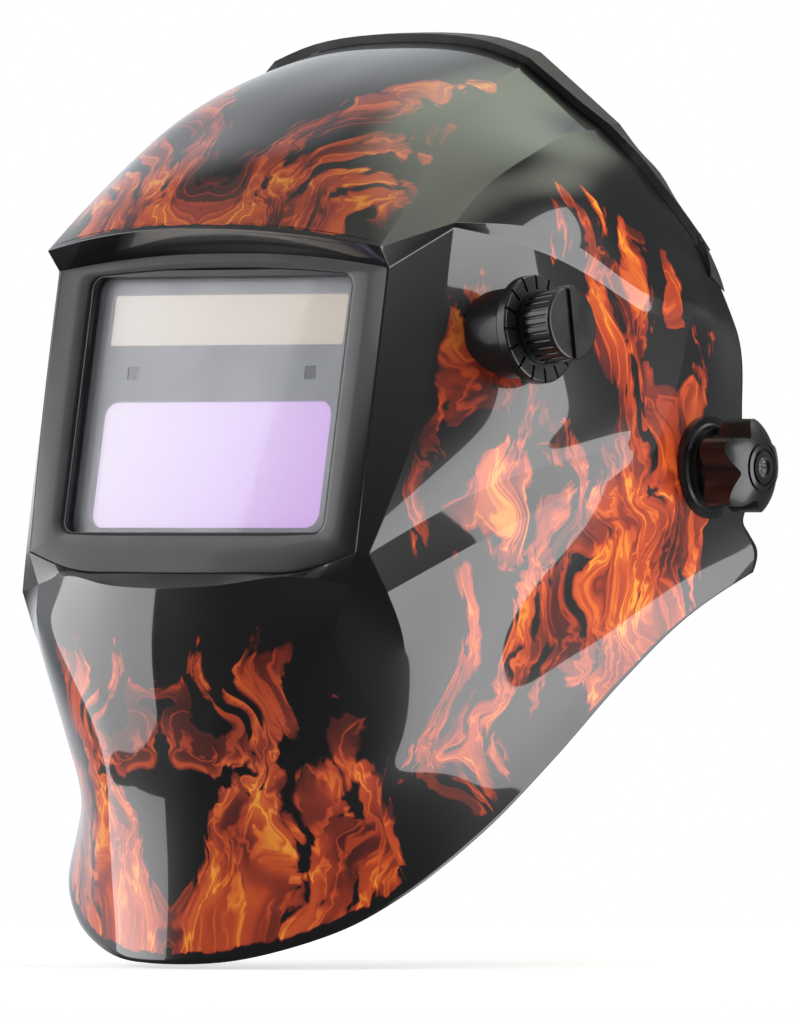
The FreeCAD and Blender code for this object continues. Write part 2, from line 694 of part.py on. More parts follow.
def make_shade_knob():
    knob = cylinder(SHADE_KNOB_R, DIAL_TOP + 0.4, SHADE_KNOB_TOP)
    top_edges = [e for e in knob.Edges if e.Closed and e.BoundBox.ZMin > SHADE_KNOB_TOP - 0.1]
    knob = knob.makeFillet(0.9, top_edges)
    reach = SHADE_KNOB_R + 0.15
    for k in range(28):
        angle = 2 * math.pi * k / 28
        knob = knob.cut(cylinder(0.65, DIAL_TOP + 2.4, SHADE_KNOB_TOP - 1.6,
                                 reach * math.cos(angle), reach * math.sin(angle)))
    bar = box(-1.3, 1.3, 0.4 - SHADE_KNOB_R, SHADE_KNOB_R + 0.6, SHADE_KNOB_TOP - 4.0, SHADE_KNOB_TOP + 1.2)
    knob = knob.fuse(bar)
    knob = knob.cut(cylinder(SHADE_SHAFT_R, 0, SHADE_KNOB_TOP - 3.5))
    return shade_frame(knob.cut(cylinder(6.9, 0, DIAL_TOP + 1.4)))


def make_shade_shaft():
    return shade_frame(cylinder(SHADE_SHAFT_R, 2.0, SHADE_KNOB_TOP - 3.5))


def make_shade_potentiometer():
    body = cylinder(POT_R, SHADE_BOSS_BASE - POT_DEPTH, SHADE_BOSS_BASE)
    bushing = cylinder(BUSHING_R, SHADE_BOSS_BASE - 0.4, 9.6)
    back = SHADE_BOSS_BASE - 1.6
    terminals = box(-5.0, 5.0, -POT_R - 4.0, -POT_R + 2.5, back - 1.8, back)
    pot = fused([body, bushing, terminals])
    return shade_frame(pot.cut(cylinder(SHADE_SHAFT_R + PIVOT_CLEARANCE, 1.5, 12)))


def make_shade_nut():
    corners = []
    for k in range(6):
        angle = math.radians(60.0 * k)
        corners.append((6.6 * math.cos(angle), 6.6 * math.sin(angle)))
    nut = polygon_prism(corners, SHADE_BOSS_TOP, SHADE_BOSS_TOP + 2.6)
    return shade_frame(nut.cut(cylinder(BUSHING_R, 0, 20)))


# ---------------------------------------------------------------- lead from shade control to cartridge
def rounded_path(points, radius):
    """Straight runs joined by tangent arcs of one radius."""
    edges = []
    start = points[0]
    for k in range(1, len(points) - 1):
        corner = points[k]
        back = points[k - 1] - corner
        ahead = points[k + 1] - corner
        back.normalize()
        ahead.normalize()
        half = math.acos(max(-1.0, min(1.0, back.dot(ahead)))) / 2
        reach = radius / math.tan(half)
        bisector = back + ahead
        bisector.normalize()
        centre = corner + bisector * (radius / math.sin(half))
        first = corner + back * reach
        last = corner + ahead * reach
        middle = centre - bisector * radius
        edges.append(Part.LineSegment(start, first).toShape())
        edges.append(Part.Arc(first, middle, last).toShape())
        print("lead bend radius %.1f mm" % radius)
        start = last
    edges.append(Part.LineSegment(start, points[-1]).toShape())
    return Part.Wire(edges)


def make_shade_lead():
    axis = shade_frame(cylinder(1.0, 0.0, 1.0))
    origin = axis.Placement.Base
    direction = axis.Placement.Rotation.multVec(V(0, 0, 1))
    start = origin + direction * (SHADE_BOSS_BASE - POT_DEPTH)
    inward = at_window(window_box(0, 1, 0, 1, 0, 1)).Placement
    end = inward.multVec(V(CASE_SIZE[0] / 2 - CASE_WALL, LEAD_UP, -LEAD_DEPTH))
    first = start - direction * LEAD_RUN_OUT
    second = end + V(LEAD_RUN_IN, 0, 0)
    path = rounded_path([start, first, second, end], LEAD_BEND)
    profile = Part.Wire([Part.makeCircle(LEAD_R, start, direction)])
    return path.makePipeShell([profile], True, True)


# ---------------------------------------------------------------- pivots
def make_pivot_spacer():
    return at_left_pivot(ring(13.15, BOLT_D / 2 + 0.1, SEAT_OUT, SPACER_OUT - 0.05))


def make_friction_washer():
    start = ARM_IN + ARM_THICK + STOP_THICK
    return at_left_pivot(ring(10.4, BOLT_D / 2 + 0.1, start + 0.02, SEAT_IN - 0.02))


def make_stop_plate():
    base = ARM_IN + ARM_THICK
    plate = ring(19.5, BOLT_D / 2 + 0.02, base, base + STOP_THICK)
    side = math.degrees(math.asin(PEG_R / PEG_AT)) + 1.3
    span = FLIP_DEG + 2 * side
    track = Part.makeCylinder(PEG_AT + PEG_R + 0.3, 10, V(0, 0, base - 1), V(0, 0, 1), span)
    core = Part.makeCylinder(PEG_AT - PEG_R - 0.3, 12, V(0, 0, base - 2), V(0, 0, 1))
    track = track.cut(core)
    track.rotate(V(0, 0, 0), V(0, 0, 1), -90.0 - span / 2)
    return at_left_pivot(plate.cut(track))


def make_pivot_bolt():
    head = cylinder(10.0, ARM_IN - 2.8, ARM_IN)
    head = head.makeFillet(1.2, [e for e in head.Edges if e.Closed and e.BoundBox.ZMax < ARM_IN - 2])
    shank = cylinder(BOLT_D / 2, ARM_IN - 1, 125.0)
    return at_left_pivot(head.fuse(shank))


def star_outline(lobes, radius, dip, count):
    points = []
    for k in range(count):
        angle = 2 * math.pi * k / count
        wave = 0.5 + 0.5 * math.cos(lobes * angle)
        reach = radius - dip * (1 - wave ** 0.8)
        points.append((reach * math.cos(angle), reach * math.sin(angle)))
    return points


def make_tension_knob():
    grip = closed_spline_prism(star_outline(5, 16.3, 5.4, 40), SPACER_OUT + 3.0, KNOB_OUT)
    dome = Part.makeSphere(24.0, V(0, 0, KNOB_OUT - 24.0 + 0.6), V(0, 0, 1))
    grip = grip.common(dome)
    neck = cylinder(11.0, SPACER_OUT, SPACER_OUT + 6)
    knob = grip.fuse(neck)
    for radius in (5.8, 8.0, 10.2):
        knob = knob.cut(ring(radius + 0.45, radius - 0.45, KNOB_OUT - 1.4, KNOB_OUT + 3))
    knob = knob.cut(cylinder(BOLT_D / 2 + PIVOT_CLEARANCE, SPACER_OUT - 1, 125.0))
    knob = knob.cut(cylinder(3.4, 124, KNOB_OUT + 3))
    knob.rotate(V(0, 0, 0), V(0, 0, 1), 10.0)
    return at_left_pivot(knob)


def make_knob_screw():
    stem = cylinder(3.4, 125.0, KNOB_OUT - 1.2)
    cross = box(-2.4, 2.4, -0.45, 0.45, KNOB_OUT - 2.2, KNOB_OUT)
    other = box(-0.45, 0.45, -2.4, 2.4, KNOB_OUT - 2.2, KNOB_OUT)
    return at_left_pivot(stem.cut(cross).cut(other))


# ---------------------------------------------------------------- headgear, drawn level then tilted
def tilted(shape):
    result = shape.copy()
    result.rotate(V(0, 0, 0), V(1, 0, 0), HEAD_TILT_DEG)
    return result


def sector(r_in, r_out, z0, z1, a0, a1, centre_y):
    """Part of a ring between two angles counted from +X towards +Y."""
    outer = Part.makeCylinder(r_out, z1 - z0, V(0, centre_y, z0), V(0, 0, 1), a1 - a0)
    inner = Part.makeCylinder(r_in, z1 - z0 + 2, V(0, centre_y, z0 - 1), V(0, 0, 1))
    outer.rotate(V(0, centre_y, 0), V(0, 0, 1), a0)
    return outer.cut(inner)


def make_headband():
    z0, z1 = BAND_Z
    parts = [sector(BAND_IN, BAND_OUT, z0, z1, 180.0, 360.0, FRONT_CENTRE_Y)]
    for side in (-1, 1):
        x0, x1 = sorted((side * BAND_IN, side * BAND_OUT))
        parts.append(box(x0, x1, FRONT_CENTRE_Y, REAR_CENTRE_Y, z0, z1))
    parts.append(sector(BAND_IN, BAND_OUT, z0, z1, 0.0, 22.0, REAR_CENTRE_Y))
    parts.append(sector(BAND_IN, BAND_OUT, z0, z1, 158.0, 180.0, REAR_CENTRE_Y))
    band = fused(parts)
    for a0 in (13.5, 161.5):
        low, high = TAIL_Z
        loop = sector(BAND_OUT - 0.5, 85.0, low - 2.0, high + 2.0, a0, a0 + 5.0, REAR_CENTRE_Y)
        hollow = sector(BAND_OUT, 83.2, low - 0.3, high + 0.3, a0 - 1, a0 + 6.0, REAR_CENTRE_Y)
        band = band.fuse(loop.cut(hollow))
    for x in (-1, 1):
        for y in RIVET_Y:
            band = band.cut(rivet_hole(x, y))
    for k in range(-4, 5):
        slot = box(-2.5, 2.5, -100, -70, z0 + 7, z1 - 7)
        slot.rotate(V(0, FRONT_CENTRE_Y, 0), V(0, 0, 1), 16.0 * k)
        if abs(k) > 2:
            band = band.cut(slot)
    return tilted(band)


def rivet_hole(side, y):
    return Part.makeCylinder(RIVET_R, 20, V(side * 70.0, y, RIVET_Z), V(side, 0, 0))


def make_brow_pad():
    pad = sector(PAD_FRONT_IN, BAND_IN, BAND_Z[0] - 2, BAND_Z[1] + 3, 218.0, 322.0, FRONT_CENTRE_Y)
    pad = pad.makeFillet(2.5, inner_arc_edges(pad, PAD_FRONT_IN))
    return tilted(pad)


def inner_arc_edges(shape, radius):
    found = []
    for e in shape.Edges:
        curve = e.Curve
        if hasattr(curve, "Radius") and abs(curve.Radius - radius) < 0.01:
            found.append(e)
    return found


def make_side_arm():
    foot = box(BAND_OUT, ARM_FOOT_OUT, FOOT_Y[0], FOOT_Y[1], 24.0, 44.0)
    web = box(BAND_OUT + 0.5, ARM_IN + ARM_THICK, -12.0, 10.0, 27.5, 31.0)
    for y in RIVET_Y:
        foot = foot.cut(rivet_hole(1, y))
    bracket = tilted(fused([foot, web]))
    disc = Part.makeCylinder(19.5, ARM_THICK, V(ARM_IN, 0, 0), V(1, 0, 0))
    tongue = tilted(box(ARM_IN, ARM_IN + ARM_THICK, -12.0, 10.0, 0.0, 31.0))
    arm = fused([bracket, disc, tongue])
    for dy in (-12.0, 12.0):
        arm = arm.cut(Part.makeCylinder(2.2, 6, V(ARM_IN - 1, dy, -3.0), V(1, 0, 0)))
    return arm.cut(Part.makeCylinder(BOLT_D / 2, 10, V(ARM_IN - 3, 0, 0), V(1, 0, 0)))


def make_band_rivets():
    rivets = []
    head = 1.4
    inside = CROWN_X[0] - head
    for side in (-1, 1):
        for y in RIVET_Y:
            out = V(side, 0, 0)
            inner_face = V(side * inside, y, RIVET_Z)
            outer_face = V(side * ARM_FOOT_OUT, y, RIVET_Z)
            shank = Part.makeCylinder(RIVET_R, ARM_FOOT_OUT - inside, inner_face, out)
            inner = Part.makeCylinder(3.5, head, inner_face, out)
            outer = Part.makeCylinder(3.5, head, outer_face, out)
            rivets.append(tilted(fused([shank, inner, outer])))
    return Part.makeCompound(rivets)


def ellipse_sector(a, b, a0, a1):
    """Filled elliptic sector in the XZ plane, above the band."""
    points = [V(0, 0, BAND_Z[1])]
    steps = 36
    for k in range(steps + 1):
        angle = math.radians(a0 + (a1 - a0) * k / steps)
        points.append(V(a * math.cos(angle), 0, BAND_Z[1] + b * math.sin(angle)))
    curve = Part.BSplineCurve()
    curve.interpolate(points[1:])
    wire = Part.Wire([Part.LineSegment(points[0], points[1]).toShape(), curve.toShape(),
                      Part.LineSegment(points[-1], points[0]).toShape()])
    return Part.Face(wire)


def crown_strap(height, end_deg):
    rise = height - BAND_Z[1]
    outer = ellipse_sector(CROWN_X[1], rise, 0.0, end_deg)
    inner = ellipse_sector(CROWN_X[0], rise - 1.6, -2.0, end_deg + 4)
    outer = outer.extrude(V(0, CROWN_Y[1] - CROWN_Y[0], 0))
    inner = inner.extrude(V(0, CROWN_Y[1] - CROWN_Y[0] + 2, 0))
    outer.translate(V(0, CROWN_Y[0], 0))
    inner.translate(V(0, CROWN_Y[0] - 1, 0))
    arch = outer.cut(inner)
    leg = box(CROWN_X[0], CROWN_X[1], CROWN_Y[0], CROWN_Y[1], BAND_Z[0] + 3, BAND_Z[1] + 0.2)
    strap = arch.fuse(leg)
    middle = (CROWN_Y[0] + CROWN_Y[1]) / 2
    for x in PEG_X:
        strap = strap.cut(Part.makeCylinder(2.0, 30, V(x, middle, CROWN_TOP - 15), V(0, 0, 1)))
    for x in (22.0, 34.0):
        strap = strap.cut(Part.makeCylinder(2.0, 60, V(x, middle, CROWN_TOP - 30), V(0, 0, 1)))
    for y in RIVET_Y:
        strap = strap.cut(rivet_hole(1, y))
    return strap


def make_crown_strap_left():
    return tilted(crown_strap(CROWN_TOP, 104.0))


def make_crown_strap_right():
    return tilted(mirrored(crown_strap(CROWN_TOP - 1.9, 104.0)))


def make_crown_pegs():
    middle = (CROWN_Y[0] + CROWN_Y[1]) / 2
    pegs = []
    for x in PEG_X:
        stem = Part.makeCylinder(2.0, 7.6, V(x, middle, CROWN_TOP - 6.2), V(0, 0, 1))
        head = Part.makeCylinder(4.0, 1.6, V(x, middle, CROWN_TOP + 0.02), V(0, 0, 1))
        pegs.append(stem.fuse(head))
    return tilted(Part.makeCompound(pegs))


def tail(radii, flip):
    """Toothed tail of the band; the teeth lie on one long edge of the slot."""
    a0 = 4.0
    a1 = 90.0 + 22.0
    strip = sector(radii[0], radii[1], TAIL_Z[0], TAIL_Z[1], a0, a1, REAR_CENTRE_Y)
    low = PINION_Z - PINION_PITCH_R - 1.3
    high = PINION_Z + PINION_PITCH_R + 1.2
    slot = sector(radii[0] - 1, radii[1] + 1, low, high, 90.0 - 17.0, 90.0 + 19.0, REAR_CENTRE_Y)
    strip = strip.cut(slot)
    pitch = 360.0 / PINION_TEETH * TAIL_RATIO
    teeth = []
    for k in range(-7, 9):
        centre = 90.0 + pitch * (k + 0.5)
        half = pitch * 0.2
        teeth.append(sector(radii[0], radii[1], high - 2.0, high + 0.5, centre - half, centre + half,
                            REAR_CENTRE_Y))
    strip = fused([strip] + teeth)
    if flip:
        strip = strip.mirror(V(0, 0, PINION_Z), V(0, 0, 1))
        strip = mirrored(strip)
    return tilted(strip)


def make_ratchet_pinion():
    y0 = REAR_CENTRE_Y + 79.2
    y1 = REAR_CENTRE_Y + 82.9
    hub = Part.makeCylinder(PINION_PITCH_R - 1.1, y1 - y0, V(0, y0, PINION_Z), V(0, 1, 0))
    teeth = []
    for k in range(PINION_TEETH):
        tooth = box(-0.62, 0.62, y0, y1, PINION_PITCH_R - 1.6, PINION_PITCH_R + 0.7)
        tooth.rotate(V(0, 0, 0), V(0, 1, 0), 360.0 * k / PINION_TEETH)
        tooth.translate(V(0, 0, PINION_Z))
        teeth.append(tooth)
    shaft = Part.makeCylinder(2.5, PINION_SHAFT_END - y0 + 1.6, V(0, y0 - 1.6, PINION_Z), V(0, 1, 0))
    return tilted(fused([hub, shaft] + teeth))


def make_ratchet_housing():
    a0 = 90.0 - RATCHET_HALF_DEG
    a1 = 90.0 + RATCHET_HALF_DEG
    wall = sector(76.8, 79.0, 22.5, 45.5, a0, a1, REAR_CENTRE_Y)
    top = sector(78.5, 83.1, 42.8, 45.5, a0, a1, REAR_CENTRE_Y)
    bottom = sector(78.5, 83.1, 22.5, 25.2, a0, a1, REAR_CENTRE_Y)
    housing = fused([wall, top, bottom])
    bore = Part.makeCylinder(2.57, 10, V(0, REAR_CENTRE_Y + 77.3, PINION_Z), V(0, 1, 0))
    return tilted(housing.cut(bore))


def make_ratchet_cover():
    a0 = 90.0 - RATCHET_HALF_DEG
    a1 = 90.0 + RATCHET_HALF_DEG
    cover = sector(83.1, 86.0, 22.5, 45.5, a0, a1, REAR_CENTRE_Y)
    disc = Part.makeCylinder(15.0, 3.0, V(0, REAR_CENTRE_Y + 83.2, PINION_Z), V(0, 1, 0))
    disc = disc.common(box(-20, 20, 100, 112, 20, 48))
    cover = cover.fuse(disc)
    bore = Part.makeCylinder(2.57, 30, V(0, REAR_CENTRE_Y + 77.3, PINION_Z), V(0, 1, 0))
    return tilted(cover.cut(bore))


def make_ratchet_washer():
    y0 = REAR_CENTRE_Y + 86.25
    washer = Part.makeCylinder(9.0, 0.7, V(0, y0, PINION_Z), V(0, 1, 0))
    return tilted(washer.cut(Part.makeCylinder(2.7, 5, V(0, y0 - 1, PINION_Z), V(0, 1, 0))))


def make_ratchet_knob():
    y0 = REAR_CENTRE_Y + 87.0
    y1 = y0 + 14.0
    knob = closed_spline_prism(star_outline(10, 19.0, 1.6, 80), 0.0, y1 - y0)
    face = Part.makeSphere(60.0, V(0, 0, y1 - y0 - 60.0 + 0.4), V(0, 0, 1))
    knob = knob.common(face)
    knob = knob.cut(ring(14.5, 9.0, y1 - y0 - 3.0, y1 - y0 + 3))
    knob = placed(knob, V(0, y0, PINION_Z), V(-1, 0, 0), V(0, 1, 0))
    bore = Part.makeCylinder(2.5, PINION_SHAFT_END - y0 + 1, V(0, y0 - 1, PINION_Z), V(0, 1, 0))
    return tilted(knob.cut(bore))


def make_rear_pad():
    pad = sector(PAD_REAR_IN, PAD_REAR_OUT, BAND_Z[0] - 1, BAND_Z[1] + 2, 64.0, 116.0, REAR_CENTRE_Y)
    return tilted(pad.makeFillet(2.5, inner_arc_edges(pad, PAD_REAR_IN)))


# ---------------------------------------------------------------- write every node
def both_sides(name, shape):
    save(name + "_left", shape)
    save(name + "_right", mirrored(shape))


def main():
    shell = make_helmet_shell()
    save("helmet_shell", shell)
    save("filter_housing", make_filter_housing(shell))
    both_sides("pivot_seat", make_pivot_seat(shell))
    save("shade_boss", make_shade_boss(shell))
    save("rear_edge_trim", make_rear_edge_trim())
    save("front_cover_lens", make_front_cover_lens())
    save("filter_case_front", make_filter_case_front())
    save("filter_case_back", make_filter_case_back())
    save("viewing_glass", make_viewing_glass())
    save("lcd_shutter", make_lcd_shutter())
    save("solar_panel", make_solar_panel())
    save("arc_sensors", make_arc_sensors())
    save("circuit_board", make_circuit_board())
    save("coin_cells", make_coin_cells())
    save("inner_cover_lens", make_inner_cover_lens())
    save("sensitivity_knob", control_knob(-CONTROL_SIDE))
    save("delay_knob", control_knob(CONTROL_SIDE))
    save("test_button", make_test_button())
    save("filter_retainer", make_filter_retainer())
    both_sides("retainer_latch", retainer_latch())
    save("shade_dial_ring", make_shade_dial_ring())
    save("shade_knob", make_shade_knob())
    save("shade_shaft", make_shade_shaft())
    save("shade_potentiometer", make_shade_potentiometer())
    save("shade_nut", make_shade_nut())
    save("shade_lead", make_shade_lead())
    both_sides("pivot_spacer", make_pivot_spacer())
    both_sides("friction_washer", make_friction_washer())
    both_sides("stop_plate", make_stop_plate())
    both_sides("pivot_bolt", make_pivot_bolt())
    both_sides("tension_knob", make_tension_knob())
    both_sides("knob_screw", make_knob_screw())
    save("headband", make_headband())
    save("brow_pad", make_brow_pad())
    both_sides("side_arm", make_side_arm())
    save("band_rivets", make_band_rivets())
    save("crown_strap_left", make_crown_strap_left())
    save("crown_strap_right", make_crown_strap_right())
    save("crown_pegs", make_crown_pegs())
    save("band_tail_left", tail(TAIL_L, False))
    save("band_tail_right", tail(TAIL_R, True))
    save("ratchet_housing", make_ratchet_housing())
    save("ratchet_cover", make_ratchet_cover())
    save("ratchet_washer", make_ratchet_washer())
    save("ratchet_pinion", make_ratchet_pinion())
    save("ratchet_knob", make_ratchet_knob())
    save("rear_pad", make_rear_pad())


main()
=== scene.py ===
import json
import math
import bpy
import numpy as np
from mathutils import Vector, Matrix


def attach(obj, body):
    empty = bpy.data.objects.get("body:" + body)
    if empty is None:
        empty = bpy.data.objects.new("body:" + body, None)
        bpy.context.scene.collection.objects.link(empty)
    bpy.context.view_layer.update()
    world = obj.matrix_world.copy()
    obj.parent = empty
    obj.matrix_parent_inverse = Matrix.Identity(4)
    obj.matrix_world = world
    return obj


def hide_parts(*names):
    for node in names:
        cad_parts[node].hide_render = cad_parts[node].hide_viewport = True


# Looks of a welding helmet: printed gloss shell, window bezel, soft pads, materials, light and camera.
# The shell's outline points and the window's frame repeat the CAD source, in millimetres.

MM = 0.001
WALL = 2.4                      # printed skin; the moulded wall in CAD is 2.6
LEAN = math.radians(11.6)
WINDOW_CENTRE = np.array([0.0, -132.9, 20.9])
WINDOW_OUT = np.array([0.0, -math.cos(LEAN), math.sin(LEAN)])
WINDOW_UP = np.array([0.0, math.sin(LEAN), math.cos(LEAN)])
OPENING = (104.6, 85.6)         # visible opening of the bezel
OPENING_ARCH = 2.4              # rise of the opening's top edge
OPENING_RADIUS = 4.0
RECESS = 4.4                    # depth of the recess in front of the cover lens
SAMPLES = 24                    # mesh cells per outline cell
FAIRNESS = 0.002                # pull of the faired skin towards the outline, on smooth areas
HOLD_CREASE = 0.02              # the same pull on creases, at the open edge and round the window
HOLD_EDGE = 0.08
HOLD_WINDOW = 50.0
VIEW_AZIMUTH = math.radians(35.5)
VIEW_DISTANCE = 5.0
LENS_PER_METRE = 105.47         # focal length in mm for each metre to the helmet's near side
VIEW_AIM = (-0.0144, -0.0147)   # point aimed at, from the origin: along the view's right and up, metres
FLOOR_Z = -0.1640
FLOOR_RADIUS = 1.4
FLOOR_FADE = (0.20, 0.50)       # the floor turns transparent between these radii
HEAD_TILT = math.radians(-10.0)

SHELL_ROWS = [
    [(0, -155, -162.3), (20, -150.5, -161.5), (40.7, -139.3, -156.5), (56, -128.5, -149.5),
     (69.5, -115.5, -138.5), (82.1, -92.8, -120), (92, -66, -96), (99.5, -38, -71),
     (105.5, -8, -49.5), (111, 22.8, -34.7)],
    [(0, -152.5, -118), (18, -150.5, -117), (35, -144, -116), (49, -133, -114),
     (60, -121, -110), (78, -94, -95), (89, -65, -77), (97, -38, -58),
     (103.5, -12, -42), (111.5, 24.5, -27.6)],
    [(0, -158, -90), (13, -157.5, -90), (26, -155, -90), (48, -141, -90),
     (66, -121, -90), (82, -97, -74), (92.5, -66, -56), (99.5, -38, -42),
     (105, -11, -31), (110.8, 21, -22.2)],
    [(0, -163, -60), (22, -160, -58), (43, -153.5, -55), (60.6, -144.8, -52),
     (74.5, -126, -58), (89, -100, -46), (99, -65, -32), (104, -38, -22),
     (107.5, -8, -20), (110.3, 18, -18)],
    [(0, -161, -39.6), (23, -157.5, -38.5), (46, -148, -35.5), (63, -141, -38.5),
     (74, -135, -41), (93, -95, -20), (104.5, -50, -4), (107, -32, -5.5),
     (109, -3, -11), (110.7, 18.8, -13.5)],
    [(0, -144.4, -34.9), (23, -144.2, -34.7), (46, -143.5, -34), (66.4, -141.4, -28),
     (69.5, -139, -28.5), (90.5, -90.2, -4), (105, -42, 6.3), (107, -32, 2.3),
     (108.5, 0, 0), (110, 18.5, -3)],
    [(0, -133.5, 18), (23, -133.5, 18), (46, -133.5, 18), (67, -133.2, 18.5),
     (77, -120, 18), (95, -92, 18), (103.5, -33, 24), (106, -16, 24),
     (107.5, 2, 21), (109.5, 18.5, 16)],
    [(0, -122.7, 70.5), (23, -122.9, 70), (46, -123.4, 68), (67, -124, 65),
     (77.8, -102.4, 78.3), (90, -70, 71), (100.5, -26, 51), (103.5, -3, 49.7),
     (105, 9, 46), (107, 20.3, 43)],
    [(0, -139.9, 78.2), (23, -138.8, 77.5), (46, -135.2, 75.2), (67.5, -129.7, 71.7),
     (78.6, -103, 79.8), (92.5, -69, 77), (102.5, -22, 56), (104, -1, 54.5),
     (105, 9, 52), (104.7, 17, 54)],
    [(0, -127, 96.5), (23, -125, 95.5), (45, -119.5, 92.5), (65.5, -110.9, 86.3),
     (78.3, -83.6, 92.7), (93, -58, 87), (99, -22, 70), (101, -3, 65),
     (102.3, 7, 62.5), (103.7, 16, 57.5)],
    [(0, -104, 112), (22, -101.5, 111.7), (43, -96, 111), (57.8, -82.6, 109.3),
     (81.5, -60.4, 104), (91, -38, 95), (96.5, -16, 79), (99.5, -2, 72),
     (101.3, 7, 67), (102.7, 15, 61)],
    [(0, -76, 127), (20.5, -75, 126.5), (40.1, -69.7, 124.5), (55.4, -60.1, 120.4),
     (80, -41.7, 109.7), (88.5, -24, 100), (94, -10, 86), (97.5, -0.5, 78),
     (99.8, 7, 71.5), (101.5, 13.7, 64.5)],
    [(0, -48, 137), (19, -46.5, 136.5), (36, -43, 134), (52.2, -39.4, 128.6),
     (78.5, -22, 111.8), (85.5, -13, 103), (91, -4.5, 91.5), (95, 1.5, 83),
     (97.8, 7, 75.5), (100, 12.2, 68)],
    [(0, -16, 143.3), (17, -16, 142.9), (34, -16, 141), (50, -16, 136.2),
     (76.9, -9.8, 112.8), (82.5, -6, 104), (87.5, -0.5, 96), (91.5, 3.5, 87),
     (95.5, 7, 79), (98.5, 10.4, 71.7)],
]
CREASE_ROWS = (4, 5, 7, 8)      # edges that run along a row, as far back as LAST_CREASE
LAST_CREASE = 7
CREASE_COLUMNS = (3, 4)         # edges that climb along a column, from FIRST_CREASE_ROW up
FIRST_CREASE_ROW = 3
RECESS_COLUMNS = (6, 7)         # rear edge of the recessed side panel, beside the window rows
RIDGE_ROWS = (2, 3, 4)          # rows with a slight keel on the centre plane
WINDOW_ROWS = (5, 7)            # the window's frame spans these rows and columns
WINDOW_COLUMN = 3

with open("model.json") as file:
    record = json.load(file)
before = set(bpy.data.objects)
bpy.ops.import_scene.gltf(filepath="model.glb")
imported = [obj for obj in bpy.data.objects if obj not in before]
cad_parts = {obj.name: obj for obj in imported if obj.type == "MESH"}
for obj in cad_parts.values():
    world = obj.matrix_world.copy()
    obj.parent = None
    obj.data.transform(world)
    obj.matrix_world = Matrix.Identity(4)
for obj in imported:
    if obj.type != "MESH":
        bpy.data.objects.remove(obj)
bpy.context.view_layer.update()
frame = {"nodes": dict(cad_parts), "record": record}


# ---------------------------------------------------------------- numbers: noise and ramps
def lattice(ix, iy, seed):
    """Repeatable number from 0 to 1 for each lattice point."""
    h = (ix * 374761393 + iy * 668265263 + seed * 974634777) & 0x7FFFFFFF
    h = ((h ^ (h >> 13)) * 1274126177) & 0x7FFFFFFF
    h = h ^ (h >> 16)
    return (h & 0xFFFF) / 65535.0


def value_noise(x, y, seed):
    ix = np.floor(x).astype(np.int64)
    iy = np.floor(y).astype(np.int64)
    fx = x - ix
    fy = y - iy
    fx = fx * fx * fx * (fx * (fx * 6 - 15) + 10)
    fy = fy * fy * fy * (fy * (fy * 6 - 15) + 10)
    low = lattice(ix, iy, seed) * (1 - fx) + lattice(ix + 1, iy, seed) * fx
    high = lattice(ix, iy + 1, seed) * (1 - fx) + lattice(ix + 1, iy + 1, seed) * fx
    return low * (1 - fy) + high * fy


def layered_noise(x, y, seed, octaves=3):
    total = np.zeros_like(x)
    weight = 0.0
    gain = 1.0
    for k in range(octaves):
        total += gain * value_noise(x, y, seed + 17 * k)
        weight += gain
        gain *= 0.5
        x, y = 2.03 * x + 0.31 * y, 2.03 * y - 0.31 * x
    return total / weight


def smooth_step(low, high, x):
    t = np.clip((x - low) / (high - low), 0, 1)
    return t * t * (3 - 2 * t)


# ---------------------------------------------------------------- shell skin
def outline_grid():
    half = np.array(SHELL_ROWS, float)
    left = half[:, :0:-1, :] * np.array([-1.0, 1.0, 1.0])
    return np.concatenate([left, half], axis=1)


def column_is_crease(i, j, middle):
    offset = abs(j - middle)
    if offset in CREASE_COLUMNS:
        return i >= FIRST_CREASE_ROW
    if offset in RECESS_COLUMNS:
        return WINDOW_ROWS[0] <= i <= WINDOW_ROWS[1]
    return offset == 0 and i in RIDGE_ROWS


def row_is_crease(i, j, middle):
    return i in CREASE_ROWS and abs(j - middle) <= LAST_CREASE


def span_tangents(points, creases):
    """Tangent at both ends of every span; a crease keeps the two sides apart."""
    spans = points[1:] - points[:-1]
    length = np.linalg.norm(spans, axis=1)
    smooth = [None] * len(points)
    for k in range(1, len(points) - 1):
        if not creases[k]:
            slope = spans[k - 1] * length[k] / length[k - 1] + spans[k] * length[k - 1] / length[k]
            smooth[k] = slope / np.linalg.norm(slope)
    result = []
    for k, span in enumerate(spans):
        start = None if smooth[k] is None else smooth[k] * length[k]
        end = None if smooth[k + 1] is None else smooth[k + 1] * length[k]
        if start is None and end is None:
            start, end = span, span
        elif start is None:
            start = span * 1.5 - end * 0.5
        elif end is None:
            end = span * 1.5 - start * 0.5
        result.append((start, end))
    return result


